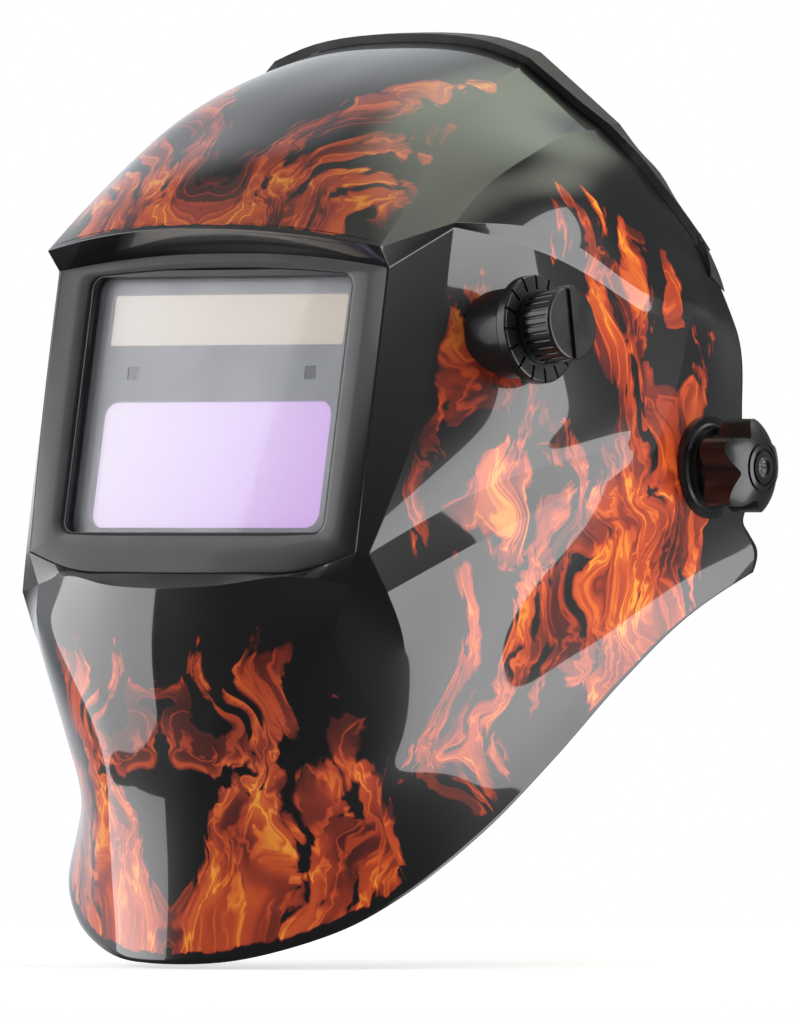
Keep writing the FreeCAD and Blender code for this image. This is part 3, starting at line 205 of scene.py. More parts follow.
def sampled_skin(grid):
    """Fine grid of points on the cubic patches between the outline points."""
    rows, columns = grid.shape[:2]
    middle = columns // 2
    along = [span_tangents(grid[i], [column_is_crease(i, j, middle) for j in range(columns)])
             for i in range(rows)]
    up = [span_tangents(grid[:, j], [row_is_crease(i, j, middle) for i in range(rows)])
          for j in range(columns)]
    t = np.linspace(0, 1, SAMPLES + 1)
    basis = np.stack([(1 - t) ** 3, 3 * t * (1 - t) ** 2, 3 * t * t * (1 - t), t ** 3], axis=1)
    fine = np.zeros(((rows - 1) * SAMPLES + 1, (columns - 1) * SAMPLES + 1, 3))
    for i in range(rows - 1):
        for j in range(columns - 1):
            low, high = along[i][j], along[i + 1][j]
            left, right = up[j][i], up[j + 1][i]
            poles = np.zeros((4, 4, 3))
            poles[0] = [grid[i, j], grid[i, j] + low[0] / 3, grid[i, j + 1] - low[1] / 3, grid[i, j + 1]]
            poles[3] = [grid[i + 1, j], grid[i + 1, j] + high[0] / 3,
                        grid[i + 1, j + 1] - high[1] / 3, grid[i + 1, j + 1]]
            for c, side in ((0, left), (1, left), (2, right), (3, right)):
                poles[1, c] = poles[0, c] + side[0] / 3
                poles[2, c] = poles[3, c] - side[1] / 3
            patch = np.einsum("ta,sb,abk->tsk", basis, basis, poles)
            fine[i * SAMPLES:(i + 1) * SAMPLES + 1, j * SAMPLES:(j + 1) * SAMPLES + 1] = patch
    return fine


def crease_masks(shape):
    """True where the surface isn't smoothed: creases along columns, then creases along rows."""
    rows, columns = shape[:2]
    middle = (columns - 1) // 2
    m = SAMPLES
    column_crease = np.zeros((rows, columns), bool)
    row_crease = np.zeros((rows, columns), bool)
    for sign in (-1, 1):
        for c in CREASE_COLUMNS:
            column_crease[FIRST_CREASE_ROW * m:, middle + sign * c * m] = True
        for c in RECESS_COLUMNS:
            column_crease[WINDOW_ROWS[0] * m:WINDOW_ROWS[1] * m + 1, middle + sign * c * m] = True
    column_crease[RIDGE_ROWS[0] * m:RIDGE_ROWS[-1] * m + 1, middle] = True
    for r in CREASE_ROWS:
        row_crease[r * m, middle - LAST_CREASE * m:middle + LAST_CREASE * m + 1] = True
    return column_crease, row_crease


def faired(points):
    """Thin-plate smoothing that keeps the creases, solved by conjugate gradients."""
    rows, columns = points.shape[:2]
    m = SAMPLES
    middle = (columns - 1) // 2
    column_crease, row_crease = crease_masks(points.shape)
    hold = np.full((rows, columns, 1), FAIRNESS)
    hold[column_crease | row_crease] = HOLD_CREASE
    for edge in (hold[0, :], hold[-1, :], hold[:, 0], hold[:, -1]):
        edge[:] = HOLD_EDGE
    left, right = middle - WINDOW_COLUMN * m, middle + WINDOW_COLUMN * m
    hold[WINDOW_ROWS[0] * m:WINDOW_ROWS[1] * m + 1, left:right + 1] = HOLD_WINDOW
    across = np.where(column_crease, 0.0, 1.0)[:, 1:-1, None]
    upward = np.where(row_crease, 0.0, 1.0)[1:-1, :, None]

    def stiffness(x):
        out = hold * x
        d = across * (x[:, 2:] - 2 * x[:, 1:-1] + x[:, :-2])
        out[:, 2:] += d
        out[:, 1:-1] -= 2 * d
        out[:, :-2] += d
        d = upward * (x[2:] - 2 * x[1:-1] + x[:-2])
        out[2:] += d
        out[1:-1] -= 2 * d
        out[:-2] += d
        return out

    x = points.copy()
    r = hold * points - stiffness(x)
    p = r.copy()
    rr = float((r * r).sum())
    for _ in range(260):
        ap = stiffness(p)
        step = rr / float((p * ap).sum())
        x += step * p
        r -= step * ap
        new = float((r * r).sum())
        if new < 1e-7:
            break
        p = r + p * (new / rr)
        rr = new
    return x


def line_positions(count, creases, step=0.3):
    """Fractional grid lines, with a close pair on both sides of every crease."""
    lines = set(float(k) for k in range(count))
    for k in creases:
        lines.update((k - step, k + step))
    return np.array(sorted(v for v in lines if 0 <= v <= count - 1))


def resampled(points, row_lines, column_lines):
    """Points at fractional grid lines, by linear steps between the neighbours."""
    r = np.minimum(row_lines.astype(int), points.shape[0] - 2)
    c = np.minimum(column_lines.astype(int), points.shape[1] - 2)
    fr = (row_lines - r)[:, None, None]
    fc = (column_lines - c)[None, :, None]
    low = points[r][:, c] * (1 - fc) + points[r][:, c + 1] * fc
    high = points[r + 1][:, c] * (1 - fc) + points[r + 1][:, c + 1] * fc
    return low * (1 - fr) + high * fr


def mesh_object(name, vertices, faces):
    mesh = bpy.data.meshes.new(name)
    mesh.from_pydata([tuple(v) for v in vertices], [], [tuple(f) for f in faces])
    mesh.validate()
    mesh.update()
    mesh.shade_smooth()
    obj = bpy.data.objects.new(name, mesh)
    bpy.context.scene.collection.objects.link(obj)
    return obj


# ---------------------------------------------------------------- flame print
# Tongues: start, middle and end of the stroke in the region's own flat chart (mm), half width, strength.
DOME_TONGUES = [
    ((4, 2), (22, 40), (50, 96), 10, 1.0), ((14, 0), (34, 24), (58, 58), 9, 0.9),
    ((30, 0), (44, 16), (62, 34), 9, 0.85), ((48, -2), (58, 12), (64, 26), 7, 0.8),
    ((6, 0), (10, 16), (26, 30), 8, 0.95), ((2, 0), (4, 10), (10, 22), 6, 0.8),
    ((20, 50), (34, 72), (48, 88), 7, 0.7), ((0, -2), (30, 0), (64, -4), 7, 0.9),
    ((30, 30), (46, 52), (58, 78), 6, 0.6),
]
SIDE_TONGUES = [
    ((-38, -60), (-30, -10), (-44, 38), 15, 1.0), ((-22, -40), (-16, 10), (-26, 50), 12, 1.0),
    ((-50, -30), (-46, 6), (-36, 40), 10, 0.9), ((-46, 40), (-42, 64), (-58, 84), 10, 0.9),
    ((-26, 40), (-34, 66), (-22, 88), 9, 0.85), ((-6, 30), (-14, 56), (-10, 80), 7, 0.6),
    ((-58, -62), (-56, -40), (-46, -20), 9, 0.8), ((-34, -68), (-24, -50), (-14, -34), 9, 0.75),
    ((-8, -30), (-2, -4), (-12, 20), 7, 0.7), ((-14, 8), (-4, 26), (4, 40), 6, 0.55),
    ((-92, -12), (-84, 16), (-96, 56), 8, 0.72), ((-100, 20), (-94, 40), (-104, 60), 7, 0.65),
    ((-80, -10), (-72, 8), (-84, 30), 7, 0.6), ((-70, -24), (-62, -8), (-66, 10), 8, 0.7),
    ((-100, -18), (-84, -8), (-70, 2), 7, 0.6),
    ((-104, -88), (-98, -60), (-106, -36), 8, 0.75), ((-84, -98), (-86, -60), (-78, -30), 10, 0.72),
    ((-66, -74), (-64, -50), (-58, -24), 8, 0.62), ((-96, -112), (-98, -92), (-92, -70), 7, 0.6),
    ((-72, 60), (-66, 76), (-76, 92), 7, 0.5), ((-44, 84), (-40, 94), (-48, 102), 6, 0.45),
    ((-112, 0), (-104, 24), (-112, 52), 7, 0.66), ((-118, -20), (-110, 0), (-116, 22), 6, 0.55),
    ((-88, -22), (-74, -14), (-60, -8), 6, 0.75), ((-78, -70), (-70, -40), (-66, -18), 7, 0.7),
    ((-92, 30), (-86, 48), (-94, 66), 5, 0.55), ((-110, -100), (-112, -70), (-104, -50), 6, 0.6),
]
CHIN_TONGUES = [
    ((6, -164), (20, -128), (28, -84), 10, 1.0), ((24, -162), (34, -130), (32, -92), 10, 0.95),
    ((42, -158), (46, -130), (44, -100), 9, 0.95), ((56, -150), (54, -124), (58, -104), 8, 0.85),
    ((12, -164), (16, -150), (14, -132), 7, 0.9), ((32, -86), (44, -74), (56, -60), 8, 0.7),
    ((14, -92), (30, -82), (48, -78), 9, 0.75), ((4, -82), (10, -72), (20, -62), 7, 0.6),
    ((36, -70), (44, -60), (40, -46), 6, 0.5), ((66, -140), (62, -118), (66, -98), 7, 0.6),
    ((0, -164), (30, -162), (60, -154), 6, 0.8), ((52, -100), (58, -88), (60, -74), 6, 0.55),
    ((64, -150), (60, -132), (64, -112), 6, 0.8), ((48, -152), (52, -126), (50, -108), 6, 0.85),
    ((20, -84), (24, -70), (22, -58), 5, 0.6), ((2, -96), (8, -84), (6, -70), 5, 0.6),
]


def tongue_cover(s, t, tongues):
    """Largest cover of any tongue at each point of a chart."""
    cover = np.zeros_like(s)
    for start, middle, end, width, strength in tongues:
        best = np.full_like(s, 1e9)
        for k in range(9):
            u = k / 8
            a, b, c = (1 - u) ** 2, 2 * u * (1 - u), u * u
            cs = a * start[0] + b * middle[0] + c * end[0]
            ct = a * start[1] + b * middle[1] + c * end[1]
            taper = width * (1.15 - 0.75 * u)
            best = np.minimum(best, ((s - cs) ** 2 + ((t - ct) * 0.8) ** 2) / taper ** 2)
        cover = np.maximum(cover, strength * np.exp(-0.9 * best))
    return cover


def flame_chart(s, t, tongues, seed, lean):
    """Bent coordinates along the flames, and how well the tongues cover each point."""
    bend_s = 2.0 * layered_noise(s / 24, t / 30, seed, 2) - 1.0
    bend_t = 2.0 * layered_noise(s / 22 + 7, t / 28 - 3, seed + 5, 2) - 1.0
    ws = s + 14 * bend_s
    wt = t + 12 * bend_t
    cover = tongue_cover(ws, wt, tongues)
    flow = np.stack([ws - lean * wt, wt, np.full_like(ws, 40.0 * seed)], axis=-1)
    return flow, cover


def flame_print(points, row_lines, column_lines):
    """Flow coordinates (mm) and cover at every grid point; both sides carry the same print."""
    rows = (row_lines / SAMPLES)[:, None] * np.ones(len(column_lines))[None, :]
    middle = len(SHELL_ROWS[0]) - 1
    columns = np.abs(column_lines / SAMPLES - middle)[None, :] * np.ones(len(row_lines))[:, None]
    x = np.abs(points[..., 0])
    y = points[..., 1]
    z = points[..., 2]
    back = np.hypot(y + 140, z - 78)
    dome_flow, dome = flame_chart(x, back, DOME_TONGUES, 3, 0.35)
    side_flow, side = flame_chart(y, z, SIDE_TONGUES, 57, -0.1)
    chin_flow, chin = flame_chart(x, z, CHIN_TONGUES, 101, 0.12)
    dome *= smooth_step(8.03, 8.12, rows) * (1 - smooth_step(3.0, 3.35, columns))
    side *= smooth_step(3.9, 4.1, columns) * (1 - smooth_step(8.6, 8.9, columns))
    side *= 1 - smooth_step(9.2, 10.2, rows)
    chin *= (1 - smooth_step(3.2, 3.7, rows)) * (1 - smooth_step(4.0, 4.3, columns))
    cover = np.maximum(np.maximum(dome, side), chin) * smooth_step(0.05, 0.12, rows)
    on_dome = ((rows > 7.5) & (columns < 3.65))[..., None]
    on_side = (columns > 4.0)[..., None]
    flow = np.where(on_dome, dome_flow, np.where(on_side, side_flow, chin_flow))
    return flow, cover


def build_skin():
    points = faired(sampled_skin(outline_grid()))
    middle = (points.shape[1] - 1) // 2
    m = SAMPLES
    row_lines = line_positions(points.shape[0], [r * m for r in CREASE_ROWS])
    creases = [middle + sign * c * m for sign in (-1, 1) for c in CREASE_COLUMNS + RECESS_COLUMNS]
    column_lines = line_positions(points.shape[1], creases)
    grid = resampled(points, row_lines, column_lines)
    flow, cover = flame_print(grid, row_lines, column_lines)
    rows, columns = grid.shape[:2]
    row_mid = (row_lines[1:] + row_lines[:-1]) / 2
    column_mid = (column_lines[1:] + column_lines[:-1]) / 2
    in_row = (row_mid > WINDOW_ROWS[0] * m) & (row_mid < WINDOW_ROWS[1] * m)
    in_column = np.abs(column_mid - middle) < WINDOW_COLUMN * m
    keep = ~(in_row[:, None] & in_column[None, :])
    r, c = np.nonzero(keep)
    first = r * columns + c
    faces = np.stack([first, first + 1, first + columns + 1, first + columns], axis=1)
    used = np.zeros(rows * columns, bool)
    used[faces.ravel()] = True
    new_index = np.cumsum(used) - 1
    skin = mesh_object("shell_skin", grid.reshape(-1, 3)[used] * MM, new_index[faces])
    attribute = skin.data.attributes.new("flame_cover", "FLOAT", "POINT")
    attribute.data.foreach_set("value", cover.ravel()[used].astype(np.float32))
    attribute = skin.data.attributes.new("flame_flow", "FLOAT_VECTOR", "POINT")
    attribute.data.foreach_set("vector", flow.reshape(-1, 3)[used].astype(np.float32).ravel())
    add_wall(skin, WALL)
    bezel = build_bezel(points, middle)
    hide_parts("helmet_shell")
    for piece in (skin, bezel):
        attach(piece, "helmet")
    return skin, bezel


def add_wall(obj, thickness):
    """Thickness inwards in mm; the inner face and the rim take the piece's second material."""
    wall = obj.modifiers.new("wall", "SOLIDIFY")
    wall.thickness = thickness * MM
    wall.offset = -1.0
    wall.use_even_offset = False
    wall.material_offset = 1
    wall.material_offset_rim = 1


def rounded_side(side, f, size, radius, arch):
    """Point at fraction f of one side of a rounded rectangle, counted counter-clockwise from the bottom."""
    w, h = size[0] / 2, size[1] / 2
    half = (w, h, w, h)[side]
    other = (h, w, h, w)[side]
    length = half * 2 - 2 * radius
    arc = radius * math.pi / 4
    d = f * (length + 2 * arc)
    if d < arc:
        a = math.pi / 4 - d / radius
        along = -half + radius - radius * math.sin(a)
        out = other - radius + radius * math.cos(a)
    elif d > arc + length:
        a = (d - arc - length) / radius
        along = half - radius + radius * math.sin(a)
        out = other - radius + radius * math.cos(a)
    else:
        along = -half + radius + (d - arc)
        out = other
    if side == 2:
        out += arch * (1 - (along / half) ** 2)
    return [(along, -out), (out, along), (-along, out), (-out, -along)][side]


def window_point(u, v, depth):
    """Point at u across and v up the window's plane, at a depth behind it, mm."""
    return WINDOW_CENTRE + np.array([u, 0, 0]) + WINDOW_UP * v - WINDOW_OUT * depth


def build_bezel(points, middle):
    """Flat frame round the window, with a rounded inner edge and a recess wall."""
    m = SAMPLES
    low, high = WINDOW_ROWS[0] * m, WINDOW_ROWS[1] * m
    left, right = middle - WINDOW_COLUMN * m, middle + WINDOW_COLUMN * m
    sides = [points[low, left:right + 1], points[low:high + 1, right],
             points[high, left:right + 1][::-1], points[low:high + 1, left][::-1]]
    outer, inner = [], []
    for k, side in enumerate(sides):
        for n in range(len(side) - 1):
            p = side[n] - WINDOW_CENTRE
            outer.append((p[0], float(p @ WINDOW_UP), -float(p @ WINDOW_OUT)))
            inner.append(rounded_side(k, n / (len(side) - 1), OPENING, OPENING_RADIUS, OPENING_ARCH))
    outer = np.array(outer)
    inner = np.array(inner)
    rings = []
    profile = ((0.0, 0.0), (0.05, 0.0), (0.12, 0.0), (0.5, 0.0), (0.86, 0.0), (0.93, 0.25),
               (0.98, 0.9), (1.0, 1.7), (1.0, 3.0), (1.0, RECESS + 0.3))
    for share, depth in profile:
        flat = outer[:, :2] * (1 - share) + inner * share
        sink = outer[:, 2] * max(0.0, 1 - share * 6) + depth
        rings.append([window_point(flat[n, 0], flat[n, 1], sink[n]) for n in range(len(flat))])
    count = len(outer)
    vertices = np.array(rings).reshape(-1, 3) * MM
    faces = []
    for k in range(len(rings) - 1):
        for n in range(count):
            o = (n + 1) % count
            faces.append((k * count + n, k * count + o, (k + 1) * count + o, (k + 1) * count + n))
    bezel = mesh_object("window_bezel", vertices, faces)
    add_wall(bezel, 0.5)
    return bezel


# ---------------------------------------------------------------- materials
def new_material(name):
    material = bpy.data.materials.new(name)
    material.use_nodes = True
    tree = material.node_tree
    return material, tree, tree.nodes["Principled BSDF"]


def add_node(tree, kind, **values):
    node = tree.nodes.new(kind)
    for key, value in values.items():
        setattr(node, key, value)
    return node


def noise(tree, scale, detail=3.0, stretch=(1, 1, 1)):
    """Noise fixed to the object; scale is in cells per metre."""
    place = add_node(tree, "ShaderNodeTexCoord")
    mapping = add_node(tree, "ShaderNodeMapping")
    mapping.inputs["Scale"].default_value = stretch
    texture = add_node(tree, "ShaderNodeTexNoise")
    texture.inputs["Scale"].default_value = scale
    texture.inputs["Detail"].default_value = detail
    tree.links.new(place.outputs["Object"], mapping.inputs["Vector"])
    tree.links.new(mapping.outputs["Vector"], texture.inputs["Vector"])
    return texture.outputs["Fac"]


def ramp(tree, source, stops):
    """Colour by a source from 0 to 1; stops are (position, colour) pairs."""
    node = add_node(tree, "ShaderNodeValToRGB")
    elements = node.color_ramp.elements
    while len(elements) < len(stops):
        elements.new(0.5)
    for element, (position, colour) in zip(elements, stops):
        element.position = position
        element.color = tuple(colour) + (1.0,)
    tree.links.new(source, node.inputs["Fac"])
    return node.outputs["Color"]


def grey(value):
    return (value, value, value)


def bump(tree, shader, height, strength, distance=0.0002):
    node = add_node(tree, "ShaderNodeBump")
    node.inputs["Strength"].default_value = strength
    node.inputs["Distance"].default_value = distance
    tree.links.new(height, node.inputs["Height"])
    tree.links.new(node.outputs["Normal"], shader.inputs["Normal"])


def plastic(name, colour, rough=(0.3, 0.42), grain=1400, strength=0.15, coat=0.0):
    """Moulded plastic: uneven colour and gloss, with a fine grain in the surface."""
    material, tree, shader = new_material(name)
    wear = noise(tree, 35, 4)
    darker = tuple(0.82 * c for c in colour)
    lighter = tuple(min(1.0, 1.2 * c) for c in colour)
    tree.links.new(ramp(tree, wear, [(0.35, darker), (0.7, lighter)]), shader.inputs["Base Color"])
    spread = noise(tree, 90, 3)
    gloss = ramp(tree, spread, [(0.3, grey(rough[0])), (0.7, grey(rough[1]))])
    tree.links.new(gloss, shader.inputs["Roughness"])
    shader.inputs["Coat Weight"].default_value = coat
    shader.inputs["Coat Roughness"].default_value = 0.06
    bump(tree, shader, noise(tree, grain, 2), strength, 0.00012)
    return material


def metal(name, colour, rough=(0.22, 0.36)):
    """Metal with brush marks that show in its colour, gloss and surface."""
    material, tree, shader = new_material(name)
    shader.inputs["Metallic"].default_value = 1.0
    brushed = noise(tree, 260, 3, (1, 1, 12))
    tree.links.new(ramp(tree, brushed, [(0.3, tuple(0.8 * c for c in colour)), (0.7, colour)]),
                   shader.inputs["Base Color"])
    gloss = ramp(tree, brushed, [(0.3, grey(rough[0])), (0.7, grey(rough[1]))])
    tree.links.new(gloss, shader.inputs["Roughness"])
    bump(tree, shader, brushed, 0.12)
    return material


def math_node(tree, operation, first, second=None, third=None):
    """Math node whose inputs are sockets or plain numbers."""
    node = add_node(tree, "ShaderNodeMath", operation=operation)
    for socket, value in zip(node.inputs, (first, second, third)):
        if isinstance(value, (int, float)):
            socket.default_value = value
        elif value is not None:
            tree.links.new(value, socket)
    return node.outputs[0]


def stepped(tree, source, low, high):
    """Smooth rise from 0 at low to 1 at high."""
    node = add_node(tree, "ShaderNodeMapRange", interpolation_type="SMOOTHSTEP")
    node.inputs["From Min"].default_value = low
    node.inputs["From Max"].default_value = high
    tree.links.new(source, node.inputs["Value"])
    return node.outputs["Result"]


def flow_noise(tree, flow, cell, detail, offset=0.0):
    """Noise stretched along the flames; cell is its size across and along them, mm."""
    mapping = add_node(tree, "ShaderNodeMapping")
    mapping.inputs["Scale"].default_value = (1 / cell[0], 1 / cell[1], 1.0)
    mapping.inputs["Location"].default_value = (offset, offset, offset)
    tree.links.new(flow, mapping.inputs["Vector"])
    texture = add_node(tree, "ShaderNodeTexNoise")
    texture.inputs["Scale"].default_value = 1.0
    texture.inputs["Detail"].default_value = detail
    tree.links.new(mapping.outputs["Vector"], texture.inputs["Vector"])
    return texture


def flame_heat(tree):
    """Heat of the print, 0 to 1: sheets with bright rims and strands inside the tongues."""
    flow = add_node(tree, "ShaderNodeAttribute", attribute_name="flame_flow").outputs["Vector"]
    cover = add_node(tree, "ShaderNodeAttribute", attribute_name="flame_cover").outputs["Fac"]
    ripple = flow_noise(tree, flow, (8.0, 12.0), 2.5)
    centred = add_node(tree, "ShaderNodeVectorMath", operation="SUBTRACT")
    centred.inputs[1].default_value = (0.5, 0.5, 0.5)
    tree.links.new(ripple.outputs["Color"], centred.inputs[0])
    bent = add_node(tree, "ShaderNodeVectorMath", operation="MULTIPLY_ADD")
    bent.inputs[1].default_value = (13.0, 11.0, 0.0)
    tree.links.new(centred.outputs[0], bent.inputs[0])
    tree.links.new(flow, bent.inputs[2])
    bent = bent.outputs[0]
    lick = flow_noise(tree, bent, (6.2, 27.0), 3.5, 3.1).outputs["Fac"]
    level = math_node(tree, "MULTIPLY_ADD", lick, 2.3, -1.15)
    level = math_node(tree, "ADD", level, cover)
    sheet = stepped(tree, level, 0.40, 0.60)
    distance = math_node(tree, "ABSOLUTE", math_node(tree, "SUBTRACT", level, 0.47))
    rim = math_node(tree, "MULTIPLY", stepped(tree, distance, 0.09, 0.0), cover)
    fold = flow_noise(tree, bent, (4.4, 19.0), 2.5, 7.7).outputs["Fac"]
    fold = math_node(tree, "ABSOLUTE", math_node(tree, "MULTIPLY_ADD", fold, 2.0, -1.0))
    strand = math_node(tree, "MULTIPLY", stepped(tree, fold, 0.16, 0.0), sheet)
    glow = flow_noise(tree, bent, (15.0, 34.0), 2.0, 12.9).outputs["Fac"]
    inside = math_node(tree, "MULTIPLY", stepped(tree, glow, 0.30, 0.74), 0.62)
    inside = math_node(tree, "MULTIPLY", math_node(tree, "ADD", inside, 0.16), sheet)
    heat = math_node(tree, "MULTIPLY_ADD", rim, 0.30, inside)
    heat = math_node(tree, "MULTIPLY_ADD", strand, 0.30, heat)
    return math_node(tree, "MULTIPLY", heat, stepped(tree, cover, 0.08, 0.36))


def shell_material():
    """Gloss lacquer over black nylon, with the printed flames under the lacquer."""
    material, tree, shader = new_material("printed_shell")
    colours = ramp(tree, flame_heat(tree), [
        (0.0, (0.0035, 0.0033, 0.0036)), (0.10, (0.014, 0.0035, 0.0028)), (0.24, (0.10, 0.010, 0.004)),
        (0.42, (0.30, 0.028, 0.007)), (0.62, (0.54, 0.062, 0.011)), (0.82, (0.76, 0.14, 0.016)),
        (1.0, (0.95, 0.36, 0.03))])
    tree.links.new(colours, shader.inputs["Base Color"])
    shader.inputs["Roughness"].default_value = 0.38
    shader.inputs["Specular IOR Level"].default_value = 0.35
    shader.inputs["Coat Weight"].default_value = 1.0
    shader.inputs["Coat Roughness"].default_value = 0.035
    shader.inputs["Coat IOR"].default_value = 1.5
    bump(tree, shader, noise(tree, 60, 2), 0.03, 0.0003)
    return material


def lens_material():
    """Thin clear polycarbonate, mostly see-through, with a gloss face and a painted reflection haze from
    its pale base colour at low alpha.
    """
    material, tree, shader = new_material("clear_cover")
    # pale base colour at 16% alpha: painted reflection haze over the lens
    shader.inputs["Base Color"].default_value = (0.8, 0.82, 0.86, 1)
    shader.inputs["Roughness"].default_value = 0.04
    shader.inputs["Alpha"].default_value = 0.16
    shader.inputs["Coat Weight"].default_value = 1.0
    shader.inputs["Coat Roughness"].default_value = 0.02
    return material


def painted_glow_panel(name, stops, along, start, end, glow, base, rough=0.15):
    """Panel that glows slightly with painted light: its emission colour is a gradient between two distances
    along an axis.
    """
    material, tree, shader = new_material(name)
    place = add_node(tree, "ShaderNodeTexCoord")
    dot = add_node(tree, "ShaderNodeVectorMath", operation="DOT_PRODUCT")
    dot.inputs[1].default_value = along
    tree.links.new(place.outputs["Object"], dot.inputs[0])
    fit = add_node(tree, "ShaderNodeMapRange")
    fit.inputs["From Min"].default_value = start
    fit.inputs["From Max"].default_value = end
    tree.links.new(dot.outputs["Value"], fit.inputs["Value"])
    # painted glow: the gradient, with a little noise, picks the emission colour
    painted_glow_level = math_node(tree, "MULTIPLY_ADD", noise(tree, 60, 3), 0.05, fit.outputs["Result"])
    colours = ramp(tree, painted_glow_level, stops)
    shader.inputs["Base Color"].default_value = tuple(base) + (1.0,)
    tree.links.new(colours, shader.inputs["Emission Color"])
    shader.inputs["Emission Strength"].default_value = glow
    shader.inputs["Roughness"].default_value = rough
    return material


def fabric(name, colour):
    """Brushed sweatband cloth with a fine weave."""
    material, tree, shader = new_material(name)
    weave = noise(tree, 900, 2)
    tree.links.new(ramp(tree, weave, [(0.3, tuple(0.6 * c for c in colour)), (0.7, colour)]),
                   shader.inputs["Base Color"])
    shader.inputs["Roughness"].default_value = 0.85
    shader.inputs["Sheen Weight"].default_value = 0.25
    bump(tree, shader, weave, 0.5, 0.0004)
    return material


def make_materials():
    lilac_painted_glow = [(0.0, (0.93, 0.84, 1.0)), (0.55, (0.80, 0.60, 1.0)), (1.0, (0.74, 0.42, 0.96))]
    painted_reflection_axis = tuple(Vector((0.93, 0.0, -0.36)).normalized())
    return {
        "shell_plastic": shell_material(),
        "housing_plastic": plastic("housing_black", (0.014, 0.014, 0.016), (0.30, 0.38), 900, 0.04, 0.15),
        "trim_plastic": plastic("trim_grain", (0.022, 0.023, 0.025), (0.42, 0.55), 1800, 0.35),
        "cover_lens": lens_material(),
        "case_plastic": plastic("filter_face", (0.36, 0.37, 0.40), (0.28, 0.36), 300, 0.01, 0.2),
        "case_back_plastic": plastic("case_black", (0.015, 0.015, 0.017), (0.35, 0.5)),
        # viewing glass: painted glow whose lilac gradient is a painted reflection, pale towards -x and up,
        # deeper towards +x and down
        "filter_glass": painted_glow_panel("viewing_glass", lilac_painted_glow, painted_reflection_axis, -0.050, 0.060, 0.86,
                                   (0.10, 0.06, 0.12), 0.08),
        "lcd": plastic("lcd_cell", (0.25, 0.2, 0.28), (0.1, 0.2), 600, 0.02),
        # solar film: painted glow, pale at -x and darker beige towards +x
        "solar": painted_glow_panel("solar_film", [(0.0, (0.82, 0.75, 0.71)), (1.0, (0.60, 0.50, 0.39))],
                            (1.0, 0.0, 0.0), -0.05, 0.05, 0.78, (0.20, 0.18, 0.16), 0.25),
        "sensor": plastic("sensor_window", (0.012, 0.012, 0.015), (0.08, 0.15), 500, 0.02, 0.6),
        "board": plastic("board_laminate", (0.02, 0.16, 0.06), (0.3, 0.4)),
        "cell": metal("cell_can", (0.7, 0.7, 0.7)),
        "control": plastic("knob_black", (0.011, 0.011, 0.012), (0.24, 0.36), 1500, 0.14, 0.15),
        "nylon": plastic("headgear_nylon", (0.022, 0.022, 0.024), (0.38, 0.52), 1100, 0.2),
        "steel": metal("zinc_steel", (0.62, 0.62, 0.64)),
        "brass": metal("brass_nut", (0.75, 0.55, 0.25)),
        "rubber": plastic("rubber", (0.015, 0.015, 0.015), (0.6, 0.75), 800, 0.3),
        "cable": plastic("cable_jacket", (0.012, 0.012, 0.012), (0.5, 0.6), 700, 0.2),
        "sweatband": fabric("sweatband_cloth", (0.035, 0.035, 0.04)),
    }


# Nodes that keep their edges as they are: covered ones and clear sheets
UNBEVELLED = ("helmet_shell", "brow_pad", "rear_pad", "front_cover_lens", "inner_cover_lens",
              "viewing_glass")


def dress_cad(materials):
    """Give every CAD node its material, and a small bevel where its edges show."""
    slots = {entry["node"]: entry["material_slot"] for entry in frame["record"]["subparts"]}
    for name, obj in frame["nodes"].items():
        obj.data.materials.clear()
        obj.data.materials.append(materials[slots[name]])
        if name not in UNBEVELLED:
            edge = obj.modifiers.new("edge", "BEVEL")
            edge.width = 0.00025
            edge.segments = 2
            edge.limit_method = "ANGLE"
            edge.angle_limit = math.radians(40)


# ---------------------------------------------------------------- soft pads
STITCHES = 9                    # sewn channels along a pad
COVER_MOVE_CAP = 0.0016         # farthest a point of a cover may move, metres


def arc_pad(name, centre_y, radius, depth, z_low, z_high, start_deg, end_deg):
    """Crowned pad on a level arc, tapered at its two ends, in metres."""
    around, along = 40, 120
    vertices = []
    for i in range(along + 1):
        f = i / along
        angle = math.radians(start_deg + (end_deg - start_deg) * f)
        end = min(1.0, min(f, 1 - f) * 16)
        swell = math.sqrt(max(0.0, 1 - (1 - end) ** 2)) * 0.92 + 0.08
        half_z = (z_high - z_low) / 2 * (0.88 + 0.12 * swell)
        for k in range(around):
            a = 2 * math.pi * k / around
            c, s = math.cos(a), math.sin(a)
            across = math.copysign(abs(c) ** 0.62, c)
            rise = math.copysign(abs(s) ** 0.62, s)
            inward = depth * (0.5 - 0.5 * across)
            if across < 0:
                inward = depth * 0.5 * (1 - across * swell)
            r = radius - inward
            z = (z_low + z_high) / 2 + half_z * rise * (0.9 + 0.1 * (1 - inward / depth))
            vertices.append((r * math.cos(angle) * MM, (centre_y + r * math.sin(angle)) * MM, z * MM))
    faces = []
    for i in range(along):
        for k in range(around):
            m = (k + 1) % around
            faces.append((i * around + k, i * around + m, (i + 1) * around + m, (i + 1) * around + k))
    faces.append(tuple(range(around))[::-1])
    faces.append(tuple(along * around + k for k in range(around)))
    return mesh_object(name, vertices, faces)


def coordinates(mesh):
    flat = np.empty(len(mesh.vertices) * 3)
    mesh.vertices.foreach_get("co", flat)
    return flat.reshape(-1, 3)


def remeshed(pad):
    """Rebuild the pad from even 4 mm cells, so that the cover stretches alike everywhere."""
    cells = pad.modifiers.new("cells", "REMESH")
    cells.mode = "VOXEL"
    cells.voxel_size = 0.004
    cells.use_smooth_shade = True
    evaluated = pad.evaluated_get(bpy.context.evaluated_depsgraph_get())
    mesh = bpy.data.meshes.new_from_object(evaluated)
    pad.modifiers.remove(cells)
    pad.data = mesh


